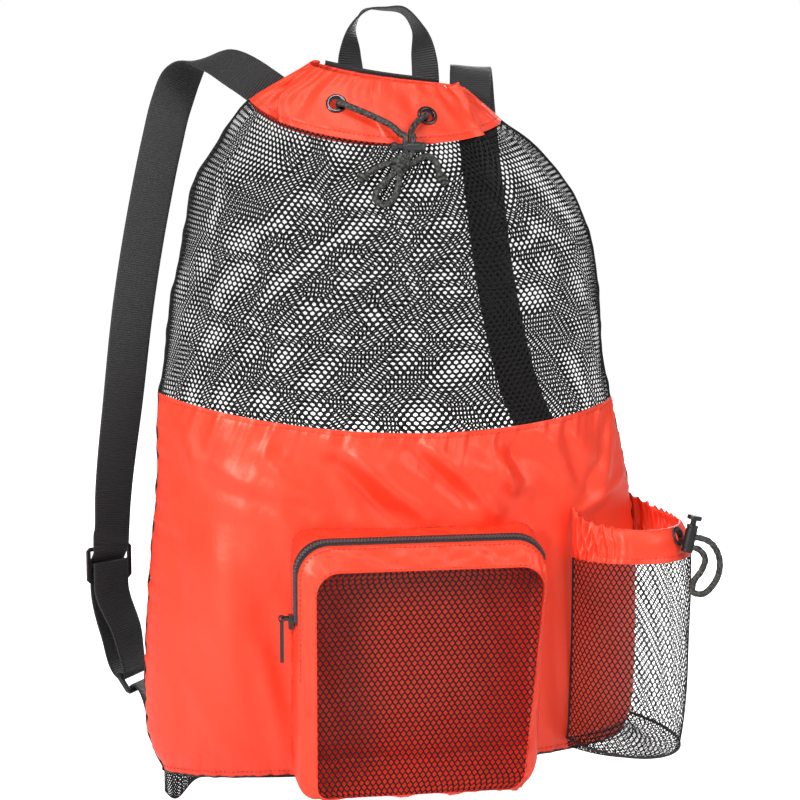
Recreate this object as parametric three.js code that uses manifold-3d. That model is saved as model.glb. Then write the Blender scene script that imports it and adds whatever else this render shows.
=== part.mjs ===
// Swim backpack: a net and polyester drawstring bag with webbing shoulder straps, a grab loop,
// a boxed zip pocket on the front and an open bottle pocket at its lower right.
// Millimetres, +Z up, the front faces -Y, the origin is under the top of the grab loop.
import * as THREE from "three";
import { mergeVertices } from "three/addons/utils/BufferGeometryUtils.js";
import Module from "manifold-3d";

const wasm = await Module();
wasm.setup();

// Cloth, webbing and cord
const CLOTH = 1.6; // wall of cloth and net
const GAP = 0.4; // clearance between pieces that are sewn or seated together
const WEB = 2; // thickness of webbing
const STRAP_WIDTH = 38;
const LOOP_WIDTH = 25;
const CORD_RADIUS = 2.8;
const CORD_SIDES = 8;

// Body of the bag: lens-shaped sections that meet at the two side seams
const SEAM_Y = -27; // plane of the side seams
const BULGE_POWER = 1.24; // how full a section is between its seams
const SEAM_TAPE_ANGLE = 0.1; // half the arc that the tape on a side seam covers, radians
const SEAM_TAPE_GAP = 0.016; // clearance of the panels beside that tape, radians
const PANEL_EDGE = Math.PI / 2 - SEAM_TAPE_ANGLE - SEAM_TAPE_GAP;
const BODY = [
  { z: -50, halfWidth: 61, centreX: -13, front: 24, back: 20 },
  { z: -65, halfWidth: 81, centreX: -17, front: 30, back: 24 },
  { z: -80, halfWidth: 102, centreX: -20, front: 37, back: 29 },
  { z: -100, halfWidth: 123, centreX: -18, front: 46, back: 35 },
  { z: -120, halfWidth: 143, centreX: -10, front: 55, back: 42 },
  { z: -150, halfWidth: 167, centreX: -6, front: 68, back: 52 },
  { z: -180, halfWidth: 180, centreX: -1, front: 79, back: 60 },
  { z: -215, halfWidth: 189, centreX: 2, front: 89, back: 67 },
  { z: -265, halfWidth: 198, centreX: 0, front: 98, back: 73 },
  { z: -310, halfWidth: 202, centreX: -1, front: 102, back: 76 },
  { z: -355, halfWidth: 210, centreX: 0, front: 105, back: 78 },
  { z: -425, halfWidth: 219, centreX: 7, front: 108, back: 80 },
  { z: -496, halfWidth: 227, centreX: 8, front: 108, back: 81 },
  { z: -583, halfWidth: 231, centreX: 6, front: 105, back: 80 },
  { z: -646, halfWidth: 230, centreX: 5, front: 96, back: 76 },
  { z: -672, halfWidth: 224, centreX: 4, front: 86, back: 70 },
  { z: -692, halfWidth: 212, centreX: 2, front: 72, back: 62 },
];
const BASE_SAG = 14;
const FOOT = { x: -201, reach: 16, drop: 27 }; // drooping lower left corner of the net

// Long soft folds of the orange panel, ridges (+) and hollows (-) along a line
const PANEL_FOLDS = [
  { x1: -70, z1: -385, x2: 30, z2: -412, width: 15, lift: 4 },
  { x1: 20, z1: -386, x2: 110, z2: -420, width: 14, lift: 5 },
  { x1: 60, z1: -380, x2: 150, z2: -408, width: 13, lift: -4 },
  { x1: 150, z1: -378, x2: 205, z2: -428, width: 14, lift: 5 },
  { x1: -130, z1: -380, x2: -60, z2: -402, width: 14, lift: -3 },
  { x1: -165, z1: -470, x2: -135, z2: -640, width: 15, lift: 3 },
];
// Slack of the net below the gathered neck
const NECK_GATHERS = { count: 9, lift: 3, fadeLength: 60 };
const COLLAR_TUCKS = { start: 0.6, count: 2, lift: 3 };

// Hardware of the neck
const EYELET = { hole: 6, barrel: 6.9, flange: 9.5, height: 2.4, seat: 0.7, depth: 3 };
const EYELETS = [
  { name: "eyelet_left", x: -52, z: -88 },
  { name: "eyelet_right", x: 28, z: -98 },
];
const COLLAR_LOCK = { x: 2, y: -96, z: -125.5, radius: 4.4, length: 19.5 };
const LOCK_BORE = 2.9;
const LOCK_STEM = 2.6;

// Webbing: where its centre runs (x, y, z) and which way its width points (wx, wy, wz)
const GRAB_LOOP = [
  { x: -30, y: 6.3, z: -88, wx: 1, wy: 0, wz: 0 },
  { x: -30, y: 1.4, z: -66, wx: 1, wy: 0.1, wz: 0 },
  { x: -31, y: 2, z: -40, wx: 0.85, wy: 0.5, wz: 0.1 },
  { x: -28, y: 0, z: -15, wx: 0.35, wy: 0.95, wz: 0.1 },
  { x: -16, y: 0, z: 0, wx: 0, wy: 1, wz: 0.1 },
  { x: 0, y: 0, z: 1, wx: 0, wy: 1, wz: 0 },
  { x: 17, y: 0, z: 0, wx: 0, wy: 1, wz: -0.1 },
  { x: 31, y: 0, z: -16, wx: -0.35, wy: 0.95, wz: 0.1 },
  { x: 37, y: 0, z: -43, wx: -0.85, wy: 0.5, wz: 0.1 },
  { x: 38.5, y: -1.4, z: -72, wx: -0.97, wy: 0.24, wz: 0 },
  { x: 39, y: 4.4, z: -94, wx: -0.97, wy: 0.24, wz: 0 },
];
const STRAP_LEFT = [
  { x: -80, y: 6, z: -92, wx: 0.5, wy: 0.1, wz: 0.86 },
  { x: -104, y: 7, z: -74, wx: 0.5, wy: 0.1, wz: 0.86 },
  { x: -128, y: 14, z: -57, wx: 0.4, wy: 0.3, wz: 0.86 },
  { x: -150, y: 30, z: -45, wx: 0.65, wy: 0.5, wz: 0.55 },
  { x: -168, y: 46, z: -45, wx: 0.85, wy: 0.5, wz: 0.2 },
  { x: -182, y: 56, z: -60, wx: 0.97, wy: 0.2, wz: 0 },
  { x: -191, y: 58, z: -82, wx: 1, wy: 0, wz: 0 },
  { x: -201, y: 57, z: -120, wx: 1, wy: -0.05, wz: 0 },
  { x: -212, y: 55, z: -170, wx: 1, wy: -0.05, wz: 0 },
  { x: -229, y: 52, z: -264, wx: 1, wy: 0, wz: 0 },
  { x: -241, y: 48, z: -358, wx: 0.97, wy: 0.2, wz: 0 },
  { x: -252, y: 42, z: -450, wx: 0.88, wy: 0.45, wz: 0 },
  { x: -254, y: 37, z: -484, wx: 0.83, wy: 0.54, wz: 0 },
];
const STRAP_RIGHT = [
  { x: 78, y: -5, z: -96, wx: 0.9, wy: -0.44, wz: -0.08 },
  { x: 80, y: -1, z: -76, wx: 0.95, wy: -0.3, wz: -0.08 },
  { x: 82, y: 9, z: -56, wx: 1, wy: -0.1, wz: -0.08 },
  { x: 86, y: 27, z: -49, wx: 1, wy: 0, wz: -0.08 },
  { x: 91, y: 41, z: -62, wx: 1, wy: 0, wz: -0.08 },
  { x: 96, y: 50, z: -92, wx: 1, wy: 0, wz: 0 },
  { x: 106, y: 60, z: -160, wx: 1, wy: 0, wz: 0 },
  { x: 122, y: 70, z: -260, wx: 1, wy: 0, wz: 0 },
  { x: 148, y: 77, z: -360, wx: 0.98, wy: -0.2, wz: 0 },
  { x: 187, y: 69, z: -450, wx: 0.93, wy: -0.37, wz: 0 },
  { x: 197, y: 63, z: -484, wx: 0.9, wy: -0.44, wz: 0 },
];
// Three-bar slider and lower ring: centre of the slider, middle of the ring's upper bar,
// direction along the bars and direction from the ring's upper bar to its lower bar
const SLIDER = { width: 48, height: 34, rail: 3.4, bar: 3.6, midBar: 4, thick: 3, corner: 3 };
const RING = { width: 46, pitch: 18, bar: 4, thick: 4, corner: 3 };
const WRAP_RADIUS = 4.7; // webbing round a bar, at the middle of its thickness
const TAB_WIDTH = 30;
const SIDES = [
  {
    name: "left",
    strap: STRAP_LEFT,
    slider: { x: -257, y: 35, z: -511, wx: 0.83, wy: 0.54 },
    ring: { x: -238, y: 22, z: -612, wx: 0.55, wy: 0.83, downX: 0.5, downY: -0.35, downZ: -0.79 },
    tabAngle: 1.5 * Math.PI - 0.33,
    tabHeights: [-648, -662, -676],
    tabClear: 0.5,
  },
  {
    name: "right",
    strap: STRAP_RIGHT,
    slider: { x: 204, y: 60, z: -511, wx: 0.9, wy: -0.44 },
    ring: { x: 230, y: 32, z: -612, wx: 0.7, wy: -0.71, downX: -0.3, downY: -0.35, downZ: -0.84 },
    tabAngle: Math.PI / 2 + 0.53,
    tabHeights: [-646, -660, -673],
    tabClear: 0,
  },
];

// Drawcord below the lock: x, z and how far its middle stands off the net
const DRAWCORD_LEFT = [
  { x: -40, z: -91, clear: 7 },
  { x: -28, z: -96, clear: 7 },
  { x: -15, z: -102, clear: 7.5 },
  { x: -5, z: -108, clear: 9 },
  { x: 0.5, z: -114, clear: 11 },
];
const DRAWCORD_RIGHT = [
  { x: 20, z: -101, clear: 8 },
  { x: 14.5, z: -106.5, clear: 9 },
  { x: 10.5, z: -113, clear: 11 },
];
const LOCK_ENTRIES = { left: 4.5, right: 11 }; // x where the two strands go into the lock
const BOW_KNOT = { x: -1, z: -140.4, clear: 9.6, halfX: 10, halfY: 7.5, halfZ: 10.4 };
const BOW_LOOP = [
  { x: -6.8, z: -147.9, clear: 9.8 },
  { x: -15, z: -156, clear: 8 },
  { x: -22, z: -163, clear: 7 },
  { x: -24, z: -170, clear: 7 },
  { x: -18, z: -175, clear: 7 },
  { x: -10, z: -172, clear: 7 },
  { x: -5, z: -163, clear: 8 },
  { x: -2.5, z: -150.4, clear: 9.8 },
];
const BOW_TAIL_LEFT = [
  { x: -11.4, z: -139.8, clear: 9.6 },
  { x: -20, z: -143, clear: 7.5 },
  { x: -29, z: -148.5, clear: 7.4 },
];
const BOW_TAIL_RIGHT = [
  { x: 9.5, z: -139.4, clear: 10 },
  { x: 18, z: -134.5, clear: 9 },
  { x: 25, z: -133.5, clear: 8 },
  { x: 31, z: -138, clear: 7.5 },
  { x: 33, z: -146, clear: 7.5 },
];
const END_KNOTS = [
  { name: "end_knot_left", x: -34, z: -152, clear: 7.5, halfX: 5.6, halfY: 4.4, halfZ: 6 },
  { name: "end_knot_right", x: 35.5, z: -152.6, clear: 8, halfX: 5, halfY: 4.4, halfZ: 8 },
];

// Front pocket: outlines of its rings from the bag outwards (low is the right side at the bottom),
// and how its wall folds in there
const POCKET_RINGS = [
  { y: null, left: -99, right: 115, low: 115, bottom: -664, top: -458, corner: 18, inset: 1, back: 0 },
  { y: -152, left: -101, right: 117, low: 113, bottom: -674, top: -456, corner: 26, inset: 1, back: 0 },
  { y: -168, left: -98, right: 116, low: 107, bottom: -679, top: -461, corner: 28, inset: 0.8, back: 0.6 },
  { y: -178, left: -84, right: 112, low: 96, bottom: -673, top: -481, corner: 20, inset: 0.1, back: 1 },
];
const CORNER_STEPS = 4;
const EDGE_STEPS = 6;
const ZIP = { y: -156, width: 9, thick: 1.4, endZ: -518 };
const ZIP_SLIDER = { z: -523, deep: 4, wide: 9, tall: 12 };
const ZIP_PULL = { eye: 3.1, hole: 1.9, wide: 3.6, thick: 3.2, length: 38 };
const ZIP_BRIDGE = { bar: 1.5, reach: 6.5, wide: 10.5, tall: 2.2 };

// Bottle pocket: a round wall that starts on the front panel and ends on the right seam
const BOTTLE = {
  x: 212, y: -87, radius: 57, rimRadius: 47, toeRadius: 51,
  startAngle: THREE.MathUtils.degToRad(197), endAngle: THREE.MathUtils.degToRad(425),
  startX: 155, cuffZ: -490, bottomZ: -661, toeDrop: 9, floorSag: 8,
};
const CUFF = { frontZ: -462, leftZ: -446, rightZ: -447, gathers: 7, gatherLift: 2.6 };
const BOTTLE_EYELET = { angle: THREE.MathUtils.degToRad(312), z: -470 };
const BOTTLE_LOCK = { radius: 5.2, length: 25, stemGap: 4.6, cap: 6.6, capThick: 4, clear: 4.6 };
const BOTTLE_LOCK_AXIS = { x: 0.22, y: 0, z: 0.975 };
// Doubled tail of the bottle pocket's cord, from the lock out to its fold and back
const BOTTLE_CORD = [
  { x: 260.2, y: -136, z: -469 },
  { x: 269.9, y: -144, z: -472 },
  { x: 276.9, y: -145, z: -482 },
  { x: 278.9, y: -145, z: -496 },
  { x: 273.9, y: -144, z: -510 },
  { x: 263.9, y: -142, z: -519 },
  { x: 255.9, y: -141, z: -517 },
  { x: 256.9, y: -140, z: -508 },
  { x: 263.9, y: -140, z: -498 },
  { x: 266.9, y: -140, z: -487 },
  { x: 260.7, y: -136, z: -479 },
];

const { lerp, clamp } = THREE.MathUtils;

// A column of a table at a height, smooth through its rows
function rowValue(rows, key, z) {
  const last = rows.length - 1;
  let i = rows.findIndex((row, n) => n < last && z >= rows[n + 1].z);
  if (i < 0) i = last - 1;
  const slope = (n) => {
    const above = rows[Math.max(n - 1, 0)];
    const below = rows[Math.min(n + 1, last)];
    return (below[key] - above[key]) / (below.z - above.z);
  };
  const step = rows[i + 1].z - rows[i].z;
  const t = clamp((z - rows[i].z) / step, 0, 1);
  const t2 = t * t;
  const t3 = t2 * t;
  const start = (2 * t3 - 3 * t2 + 1) * rows[i][key] + (t3 - 2 * t2 + t) * step * slope(i);
  const end = (3 * t2 - 2 * t3) * rows[i + 1][key] + (t3 - t2) * step * slope(i + 1);
  return start + end;
}

// Point of the bag at an angle round it: 0 is the front, a quarter turn the right seam
function bodyPoint(angle, z) {
  const across = Math.cos(angle);
  const depth = rowValue(BODY, across >= 0 ? "front" : "back", z);
  const y = SEAM_Y - Math.sign(across) * depth * Math.abs(across) ** BULGE_POWER;
  const x = rowValue(BODY, "centreX", z) + rowValue(BODY, "halfWidth", z) * Math.sin(angle);
  return new THREE.Vector3(x, y, z);
}

// Level direction out of the bag at that point
function bodyNormal(angle, z) {
  const step = 0.01;
  const along = bodyPoint(angle + step, z).sub(bodyPoint(angle - step, z));
  return new THREE.Vector3(along.y, -along.x, 0).normalize();
}

// Angle on the front where the bag has this x at a height
function frontAngle(x, z) {
  const s = (x - rowValue(BODY, "centreX", z)) / rowValue(BODY, "halfWidth", z);
  return Math.asin(clamp(s, -1, 1));
}

// Point standing clear of the front of the bag
function beforeFront(row) {
  const p = bodyPoint(frontAngle(row.x, row.z), row.z);
  return new THREE.Vector3(row.x, p.y - row.clear, row.z);
}

// Edges of the pieces of the body, by angle
function rimZ(angle) {
  const s = Math.sin(angle);
  return -66 - 10 * s + 5 * s * s + 7 * Math.max(0, -Math.cos(angle));
}
function neckZ(angle) {
  const s = Math.sin(angle);
  return -122 + 31 * s * s - 8 * s;
}
function seamZ(angle) {
  const s = Math.sin(angle);
  return -370 + 22 * s * s - 5 * s;
}
function hemZ(angle) {
  const s = Math.sin(angle);
  return Math.cos(angle) >= 0 ? -676 - 8 * s * s + 9 * s : -684 + 9 * s;
}

// How far folds and gathers stand out
function foldLift(angle, z) {
  const x = bodyPoint(angle, z).x;
  let lift = 0;
  for (const fold of PANEL_FOLDS) {
    const dx = fold.x2 - fold.x1;
    const dz = fold.z2 - fold.z1;
    const t = clamp(((x - fold.x1) * dx + (z - fold.z1) * dz) / (dx * dx + dz * dz), 0, 1);
    const off = Math.hypot(x - fold.x1 - t * dx, z - fold.z1 - t * dz);
    lift += fold.lift * Math.exp(-((off / fold.width) ** 2));
  }
  return lift * Math.cos(angle);
}
function gatherLift(angle, z) {
  const fade = Math.exp((z - neckZ(angle)) / NECK_GATHERS.fadeLength);
  return NECK_GATHERS.lift * Math.sin(NECK_GATHERS.count * angle) * Math.cos(angle) * fade;
}
function tuckLift(angle) {
  const side = Math.abs(Math.sin(angle)) - COLLAR_TUCKS.start;
  if (side < 0 || Math.cos(angle) < 0) return 0;
  const turn = side / (1 - COLLAR_TUCKS.start);
  return COLLAR_TUCKS.lift * Math.sin(turn * COLLAR_TUCKS.count * 2 * Math.PI) * Math.cos(angle);
}

// Turns a geometry's faces outwards if they point in
function facingOut(geometry) {
  const position = geometry.getAttribute("position");
  const index = geometry.index.array;
  const a = new THREE.Vector3();
  const b = new THREE.Vector3();
  const c = new THREE.Vector3();
  let volume = 0;
  for (let i = 0; i < index.length; i += 3) {
    a.fromBufferAttribute(position, index[i]);
    b.fromBufferAttribute(position, index[i + 1]);
    c.fromBufferAttribute(position, index[i + 2]);
    volume += a.dot(b.cross(c));
  }
  if (volume < 0) {
    for (let i = 0; i < index.length; i += 3) {
      [index[i + 1], index[i + 2]] = [index[i + 2], index[i + 1]];
    }
  }
  geometry.computeVertexNormals();
  return geometry;
}

// Closed wall between two grids: point(u, v, 0) is its outside and point(u, v, 1) its inside
function wallGeometry(uSteps, vSteps, point, wrap = false) {
  const columns = wrap ? uSteps : uSteps + 1;
  const rows = vSteps + 1;
  const positions = [];
  for (const side of [0, 1]) {
    for (let i = 0; i < columns; i++) {
      for (let j = 0; j < rows; j++) positions.push(...point(i / uSteps, j / vSteps, side));
    }
  }
  const at = (i, j, side) => side * columns * rows + (i % columns) * rows + j;
  const faces = [];
  const quad = (a, b, c, d) => faces.push(a, b, c, a, c, d);
  for (let i = 0; i < uSteps; i++) {
    for (let j = 0; j < vSteps; j++) {
      quad(at(i, j, 0), at(i + 1, j, 0), at(i + 1, j + 1, 0), at(i, j + 1, 0));
      quad(at(i, j, 1), at(i, j + 1, 1), at(i + 1, j + 1, 1), at(i + 1, j, 1));
    }
    quad(at(i, 0, 0), at(i, 0, 1), at(i + 1, 0, 1), at(i + 1, 0, 0));
    quad(at(i, vSteps, 0), at(i + 1, vSteps, 0), at(i + 1, vSteps, 1), at(i, vSteps, 1));
  }
  for (let j = 0; !wrap && j < vSteps; j++) {
    quad(at(0, j, 0), at(0, j + 1, 0), at(0, j + 1, 1), at(0, j, 1));
    quad(at(uSteps, j, 0), at(uSteps, j, 1), at(uSteps, j + 1, 1), at(uSteps, j + 1, 0));
  }
  const geometry = new THREE.BufferGeometry();
  geometry.setAttribute("position", new THREE.Float32BufferAttribute(positions, 3));
  geometry.setIndex(faces);
  return facingOut(geometry);
}

// Wall on the bag's surface between two angles and two edges
function bodyWall({ from, to, uSteps, vSteps, top, bottom, lift, wrap, thick = CLOTH }) {
  const point = (u, v, side) => {
    const angle = lerp(from, to, u);
    const z = lerp(top(angle), bottom(angle), v);
    const out = lift(angle, z) - side * thick;
    return bodyPoint(angle, z).addScaledVector(bodyNormal(angle, z), out);
  };
  return wallGeometry(uSteps, vSteps, point, wrap);
}

// Flat webbing along stations with a position and a width direction
function webbing(stations, width) {
  const stepsBetween = 2;
  const places = stations.map((row) => new THREE.Vector3(row.x, row.y, row.z));
  const widths = stations.map((row) => new THREE.Vector3(row.wx, row.wy, row.wz).normalize());
  const path = new THREE.CatmullRomCurve3(places, false, "centripetal");
  const across = new THREE.CatmullRomCurve3(widths, false, "catmullrom");
  const point = (u, v, side) => {
    const tangent = path.getTangent(v);
    const wide = across.getPoint(v);
    wide.addScaledVector(tangent, -wide.dot(tangent)).normalize();
    const normal = tangent.clone().cross(wide);
    const place = path.getPoint(v).addScaledVector(wide, (u - 0.5) * width);
    return place.addScaledVector(normal, (0.5 - side) * WEB);
  };
  return wallGeometry(1, (stations.length - 1) * stepsBetween, point);
}

// Round cord along points
function cord(points, steps) {
  const section = new THREE.Shape();
  for (let i = 0; i < CORD_SIDES; i++) {
    const turn = (i / CORD_SIDES) * 2 * Math.PI;
    const x = CORD_RADIUS * Math.cos(turn);
    const y = CORD_RADIUS * Math.sin(turn);
    if (i === 0) section.moveTo(x, y);
    else section.lineTo(x, y);
  }
  const extrudePath = new THREE.CatmullRomCurve3(points, false, "centripetal");
  return new THREE.ExtrudeGeometry(section, { steps, bevelEnabled: false, extrudePath });
}

// Ring or cup turned about +Y from a profile of [radius, height] that closes on itself or on the axis
function turned(profile, segments = 12) {
  const points = profile.map(([radius, height]) => new THREE.Vector2(radius, height));
  const geometry = mergeVertices(bare(new THREE.LatheGeometry(points, segments)), 1e-4);
  return facingOut(withoutSlivers(geometry));
}
function bare(geometry) {
  geometry.deleteAttribute("normal");
  geometry.deleteAttribute("uv");
  return geometry;
}
function withoutSlivers(geometry) {
  const index = Array.from(geometry.index.array);
  const kept = [];
  for (let i = 0; i < index.length; i += 3) {
    const [a, b, c] = index.slice(i, i + 3);
    if (a !== b && b !== c && c !== a) kept.push(a, b, c);
  }
  geometry.setIndex(kept);
  return geometry;
}

// Joins and cuts of closed geometries
function solid(geometry) {
  const merged = mergeVertices(bare(geometry.clone()), 1e-4);
  const mesh = { numProp: 3, vertProperties: merged.attributes.position.array };
  mesh.triVerts = new Uint32Array(merged.index.array);
  return new wasm.Manifold(new wasm.Mesh(mesh));
}
function geometryOf(manifold) {
  const mesh = manifold.getMesh();
  const geometry = new THREE.BufferGeometry();
  geometry.setAttribute("position", new THREE.Float32BufferAttribute(mesh.vertProperties, 3));
  geometry.setIndex(Array.from(mesh.triVerts));
  geometry.computeVertexNormals();
  return geometry;
}

// Placement of a piece whose own +Y points along a direction
function turnTo(direction) {
  return new THREE.Quaternion().setFromUnitVectors(new THREE.Vector3(0, 1, 0), direction);
}
function basis(xAxis, yAxis, zAxis, origin) {
  return new THREE.Matrix4().makeBasis(xAxis, yAxis, zAxis).setPosition(origin);
}

const FINISHES = {
  polyester: { color: 0xf4492c, roughness: 0.5, metalness: 0 },
  net: { color: 0x17171a, roughness: 0.7, metalness: 0 },
  webbing: { color: 0x29292c, roughness: 0.75, metalness: 0 },
  cord: { color: 0x2e2d2c, roughness: 0.8, metalness: 0 },
  metal: { color: 0x2b2b2e, roughness: 0.3, metalness: 0.9 },
  plastic: { color: 0x1d1d1f, roughness: 0.45, metalness: 0 },
  lock: { color: 0x7b7d7e, roughness: 0.5, metalness: 0 },
};
const bag = new THREE.Group();
function add(name, geometry, finish, parent = bag) {
  const mesh = new THREE.Mesh(geometry, new THREE.MeshStandardMaterial(FINISHES[finish]));
  mesh.name = name;
  parent.add(mesh);
  return mesh;
}

const noLift = () => 0;
const FULL_TURN = 2 * Math.PI;

// Collar with its two eyelets
function eyeletGeometry() {
  const { hole, barrel, flange, height, seat, depth } = EYELET;
  const edge = 0.9;
  return turned([
    [hole, -depth], [barrel, -depth], [barrel, seat], [flange, seat], [flange, height - edge],
    [flange - edge, height], [hole + edge, height], [hole, height - edge], [hole, -depth],
  ]);
}
function frontSeat(x, z) {
  const angle = frontAngle(x, z);
  const step = 0.5;
  const place = bodyPoint(angle, z);
  const along = bodyPoint(angle + step / 100, z).sub(place);
  const up = bodyPoint(frontAngle(x, z + step), z + step).sub(place);
  return { place, out: along.cross(up).normalize() };
}
function eyeletHole(place, direction) {
  const drill = new THREE.CylinderGeometry(EYELET.barrel + GAP, EYELET.barrel + GAP, 16, 16);
  drill.applyQuaternion(turnTo(direction)).translate(place.x, place.y, place.z);
  return solid(drill);
}
function addCollar() {
  const band = bodyWall({
    from: 0, to: FULL_TURN, uSteps: 40, vSteps: 3, wrap: true,
    top: rimZ, bottom: (angle) => neckZ(angle) + GAP, lift: tuckLift,
  });
  let collar = solid(band);
  for (const { name, x, z } of EYELETS) {
    const { place, out } = frontSeat(x, z);
    collar = collar.subtract(eyeletHole(place, out));
    const eyelet = add(name, eyeletGeometry(), "metal");
    eyelet.position.copy(place);
    eyelet.quaternion.copy(turnTo(out));
  }
  add("collar", geometryOf(collar), "polyester");
}

// Net and cloth of the body
function addBody() {
  const front = { from: -PANEL_EDGE, to: PANEL_EDGE };
  const back = { from: Math.PI - PANEL_EDGE, to: Math.PI + PANEL_EDGE };
  add("front_mesh", bodyWall({
    ...front, uSteps: 20, vSteps: 9, top: neckZ, bottom: (angle) => seamZ(angle) + GAP, lift: gatherLift,
  }), "net");
  add("front_panel", bodyWall({
    ...front, uSteps: 24, vSteps: 13, top: seamZ, bottom: hemZ, lift: foldLift,
  }), "polyester");
  add("back_mesh", bodyWall({
    ...back, uSteps: 14, vSteps: 14, top: neckZ, bottom: hemZ, lift: gatherLift,
  }), "net");
  const tape = (middle) => bodyWall({
    from: middle - SEAM_TAPE_ANGLE, to: middle + SEAM_TAPE_ANGLE, uSteps: 2, vSteps: 18,
    top: neckZ, bottom: hemZ, lift: noLift,
  });
  add("side_binding_right", tape(Math.PI / 2), "webbing");
  add("side_binding_left", tape(1.5 * Math.PI), "webbing");
  add("base_mesh", wallGeometry(18, 6, basePoint), "net");
}
function basePoint(u, v, side) {
  const angle = lerp(-PANEL_EDGE, PANEL_EDGE, u);
  const fromFront = bodyPoint(angle, hemZ(angle));
  const p = fromFront.lerp(bodyPoint(Math.PI - angle, hemZ(Math.PI - angle)), v);
  const hang = 4 * v * (1 - v);
  const foot = FOOT.drop * Math.exp(-(((p.x - FOOT.x) / FOOT.reach) ** 2));
  p.z -= GAP + hang * (BASE_SAG * Math.cos(angle) ** 2 + foot) + (1 - side) * CLOTH;
  return p;
}

// Tape along the back of the rim, which carries the loop and the straps
function addYoke() {
  const tapeThick = 1.5;
  const above = 5;
  const below = 16;
  add("yoke_tape", bodyWall({
    from: Math.PI - 0.9, to: Math.PI + 0.75, uSteps: 14, vSteps: 1, thick: tapeThick,
    top: (angle) => rimZ(angle) + above, bottom: (angle) => rimZ(angle) - below,
    lift: () => GAP + tapeThick,
  }), "webbing");
  add("grab_loop", webbing(GRAB_LOOP, LOOP_WIDTH), "webbing");
}

// Directions of a slider or ring: along its bars, down and out of its face
function barFrame(row) {
  const along = new THREE.Vector3(row.wx, row.wy, 0).normalize();
  const down = new THREE.Vector3(row.downX ?? 0, row.downY ?? 0, row.downZ ?? -1);
  down.addScaledVector(along, -down.dot(along)).normalize();
  const out = down.clone().cross(along);
  return { along, down, out, place: new THREE.Vector3(row.x, row.y, row.z) };
}
function station(frame, downBy, outBy) {
  const p = frame.place.clone().addScaledVector(frame.down, downBy).addScaledVector(frame.out, outBy);
  return { x: p.x, y: p.y, z: p.z, wx: frame.along.x, wy: frame.along.y, wz: frame.along.z };
}
// Stations half round a bar, from behind it to its front: way is 1 below the bar and -1 above it
function wrapStations(frame, downBy, way) {
  const stations = [];
  for (let degrees = 180; degrees >= 0; degrees -= 45) {
    const turn = THREE.MathUtils.degToRad(degrees);
    const aside = way * WRAP_RADIUS * Math.sin(turn);
    stations.push(station(frame, downBy + aside, WRAP_RADIUS * Math.cos(turn)));
  }
  return stations;
}
function between(a, b, t, outBy, frame) {
  const mix = {};
  for (const key of Object.keys(a)) mix[key] = lerp(a[key], b[key], t);
  mix.x += frame.out.x * outBy;
  mix.y += frame.out.y * outBy;
  return mix;
}
function windowed(width, height, corner, windows, thick) {
  const shape = new THREE.Shape();
  shape.moveTo(-width / 2 + corner, -height / 2);
  shape.lineTo(width / 2 - corner, -height / 2).lineTo(width / 2, -height / 2 + corner);
  shape.lineTo(width / 2, height / 2 - corner).lineTo(width / 2 - corner, height / 2);
  shape.lineTo(-width / 2 + corner, height / 2).lineTo(-width / 2, height / 2 - corner);
  shape.lineTo(-width / 2, -height / 2 + corner);
  for (const { halfWide, low, high } of windows) {
    const hole = new THREE.Path();
    hole.moveTo(-halfWide, low).lineTo(-halfWide, high).lineTo(halfWide, high).lineTo(halfWide, low);
    shape.holes.push(hole);
  }
  const geometry = new THREE.ExtrudeGeometry(shape, { depth: thick, bevelEnabled: false });
  return geometry.translate(0, 0, -thick / 2);
}
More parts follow.
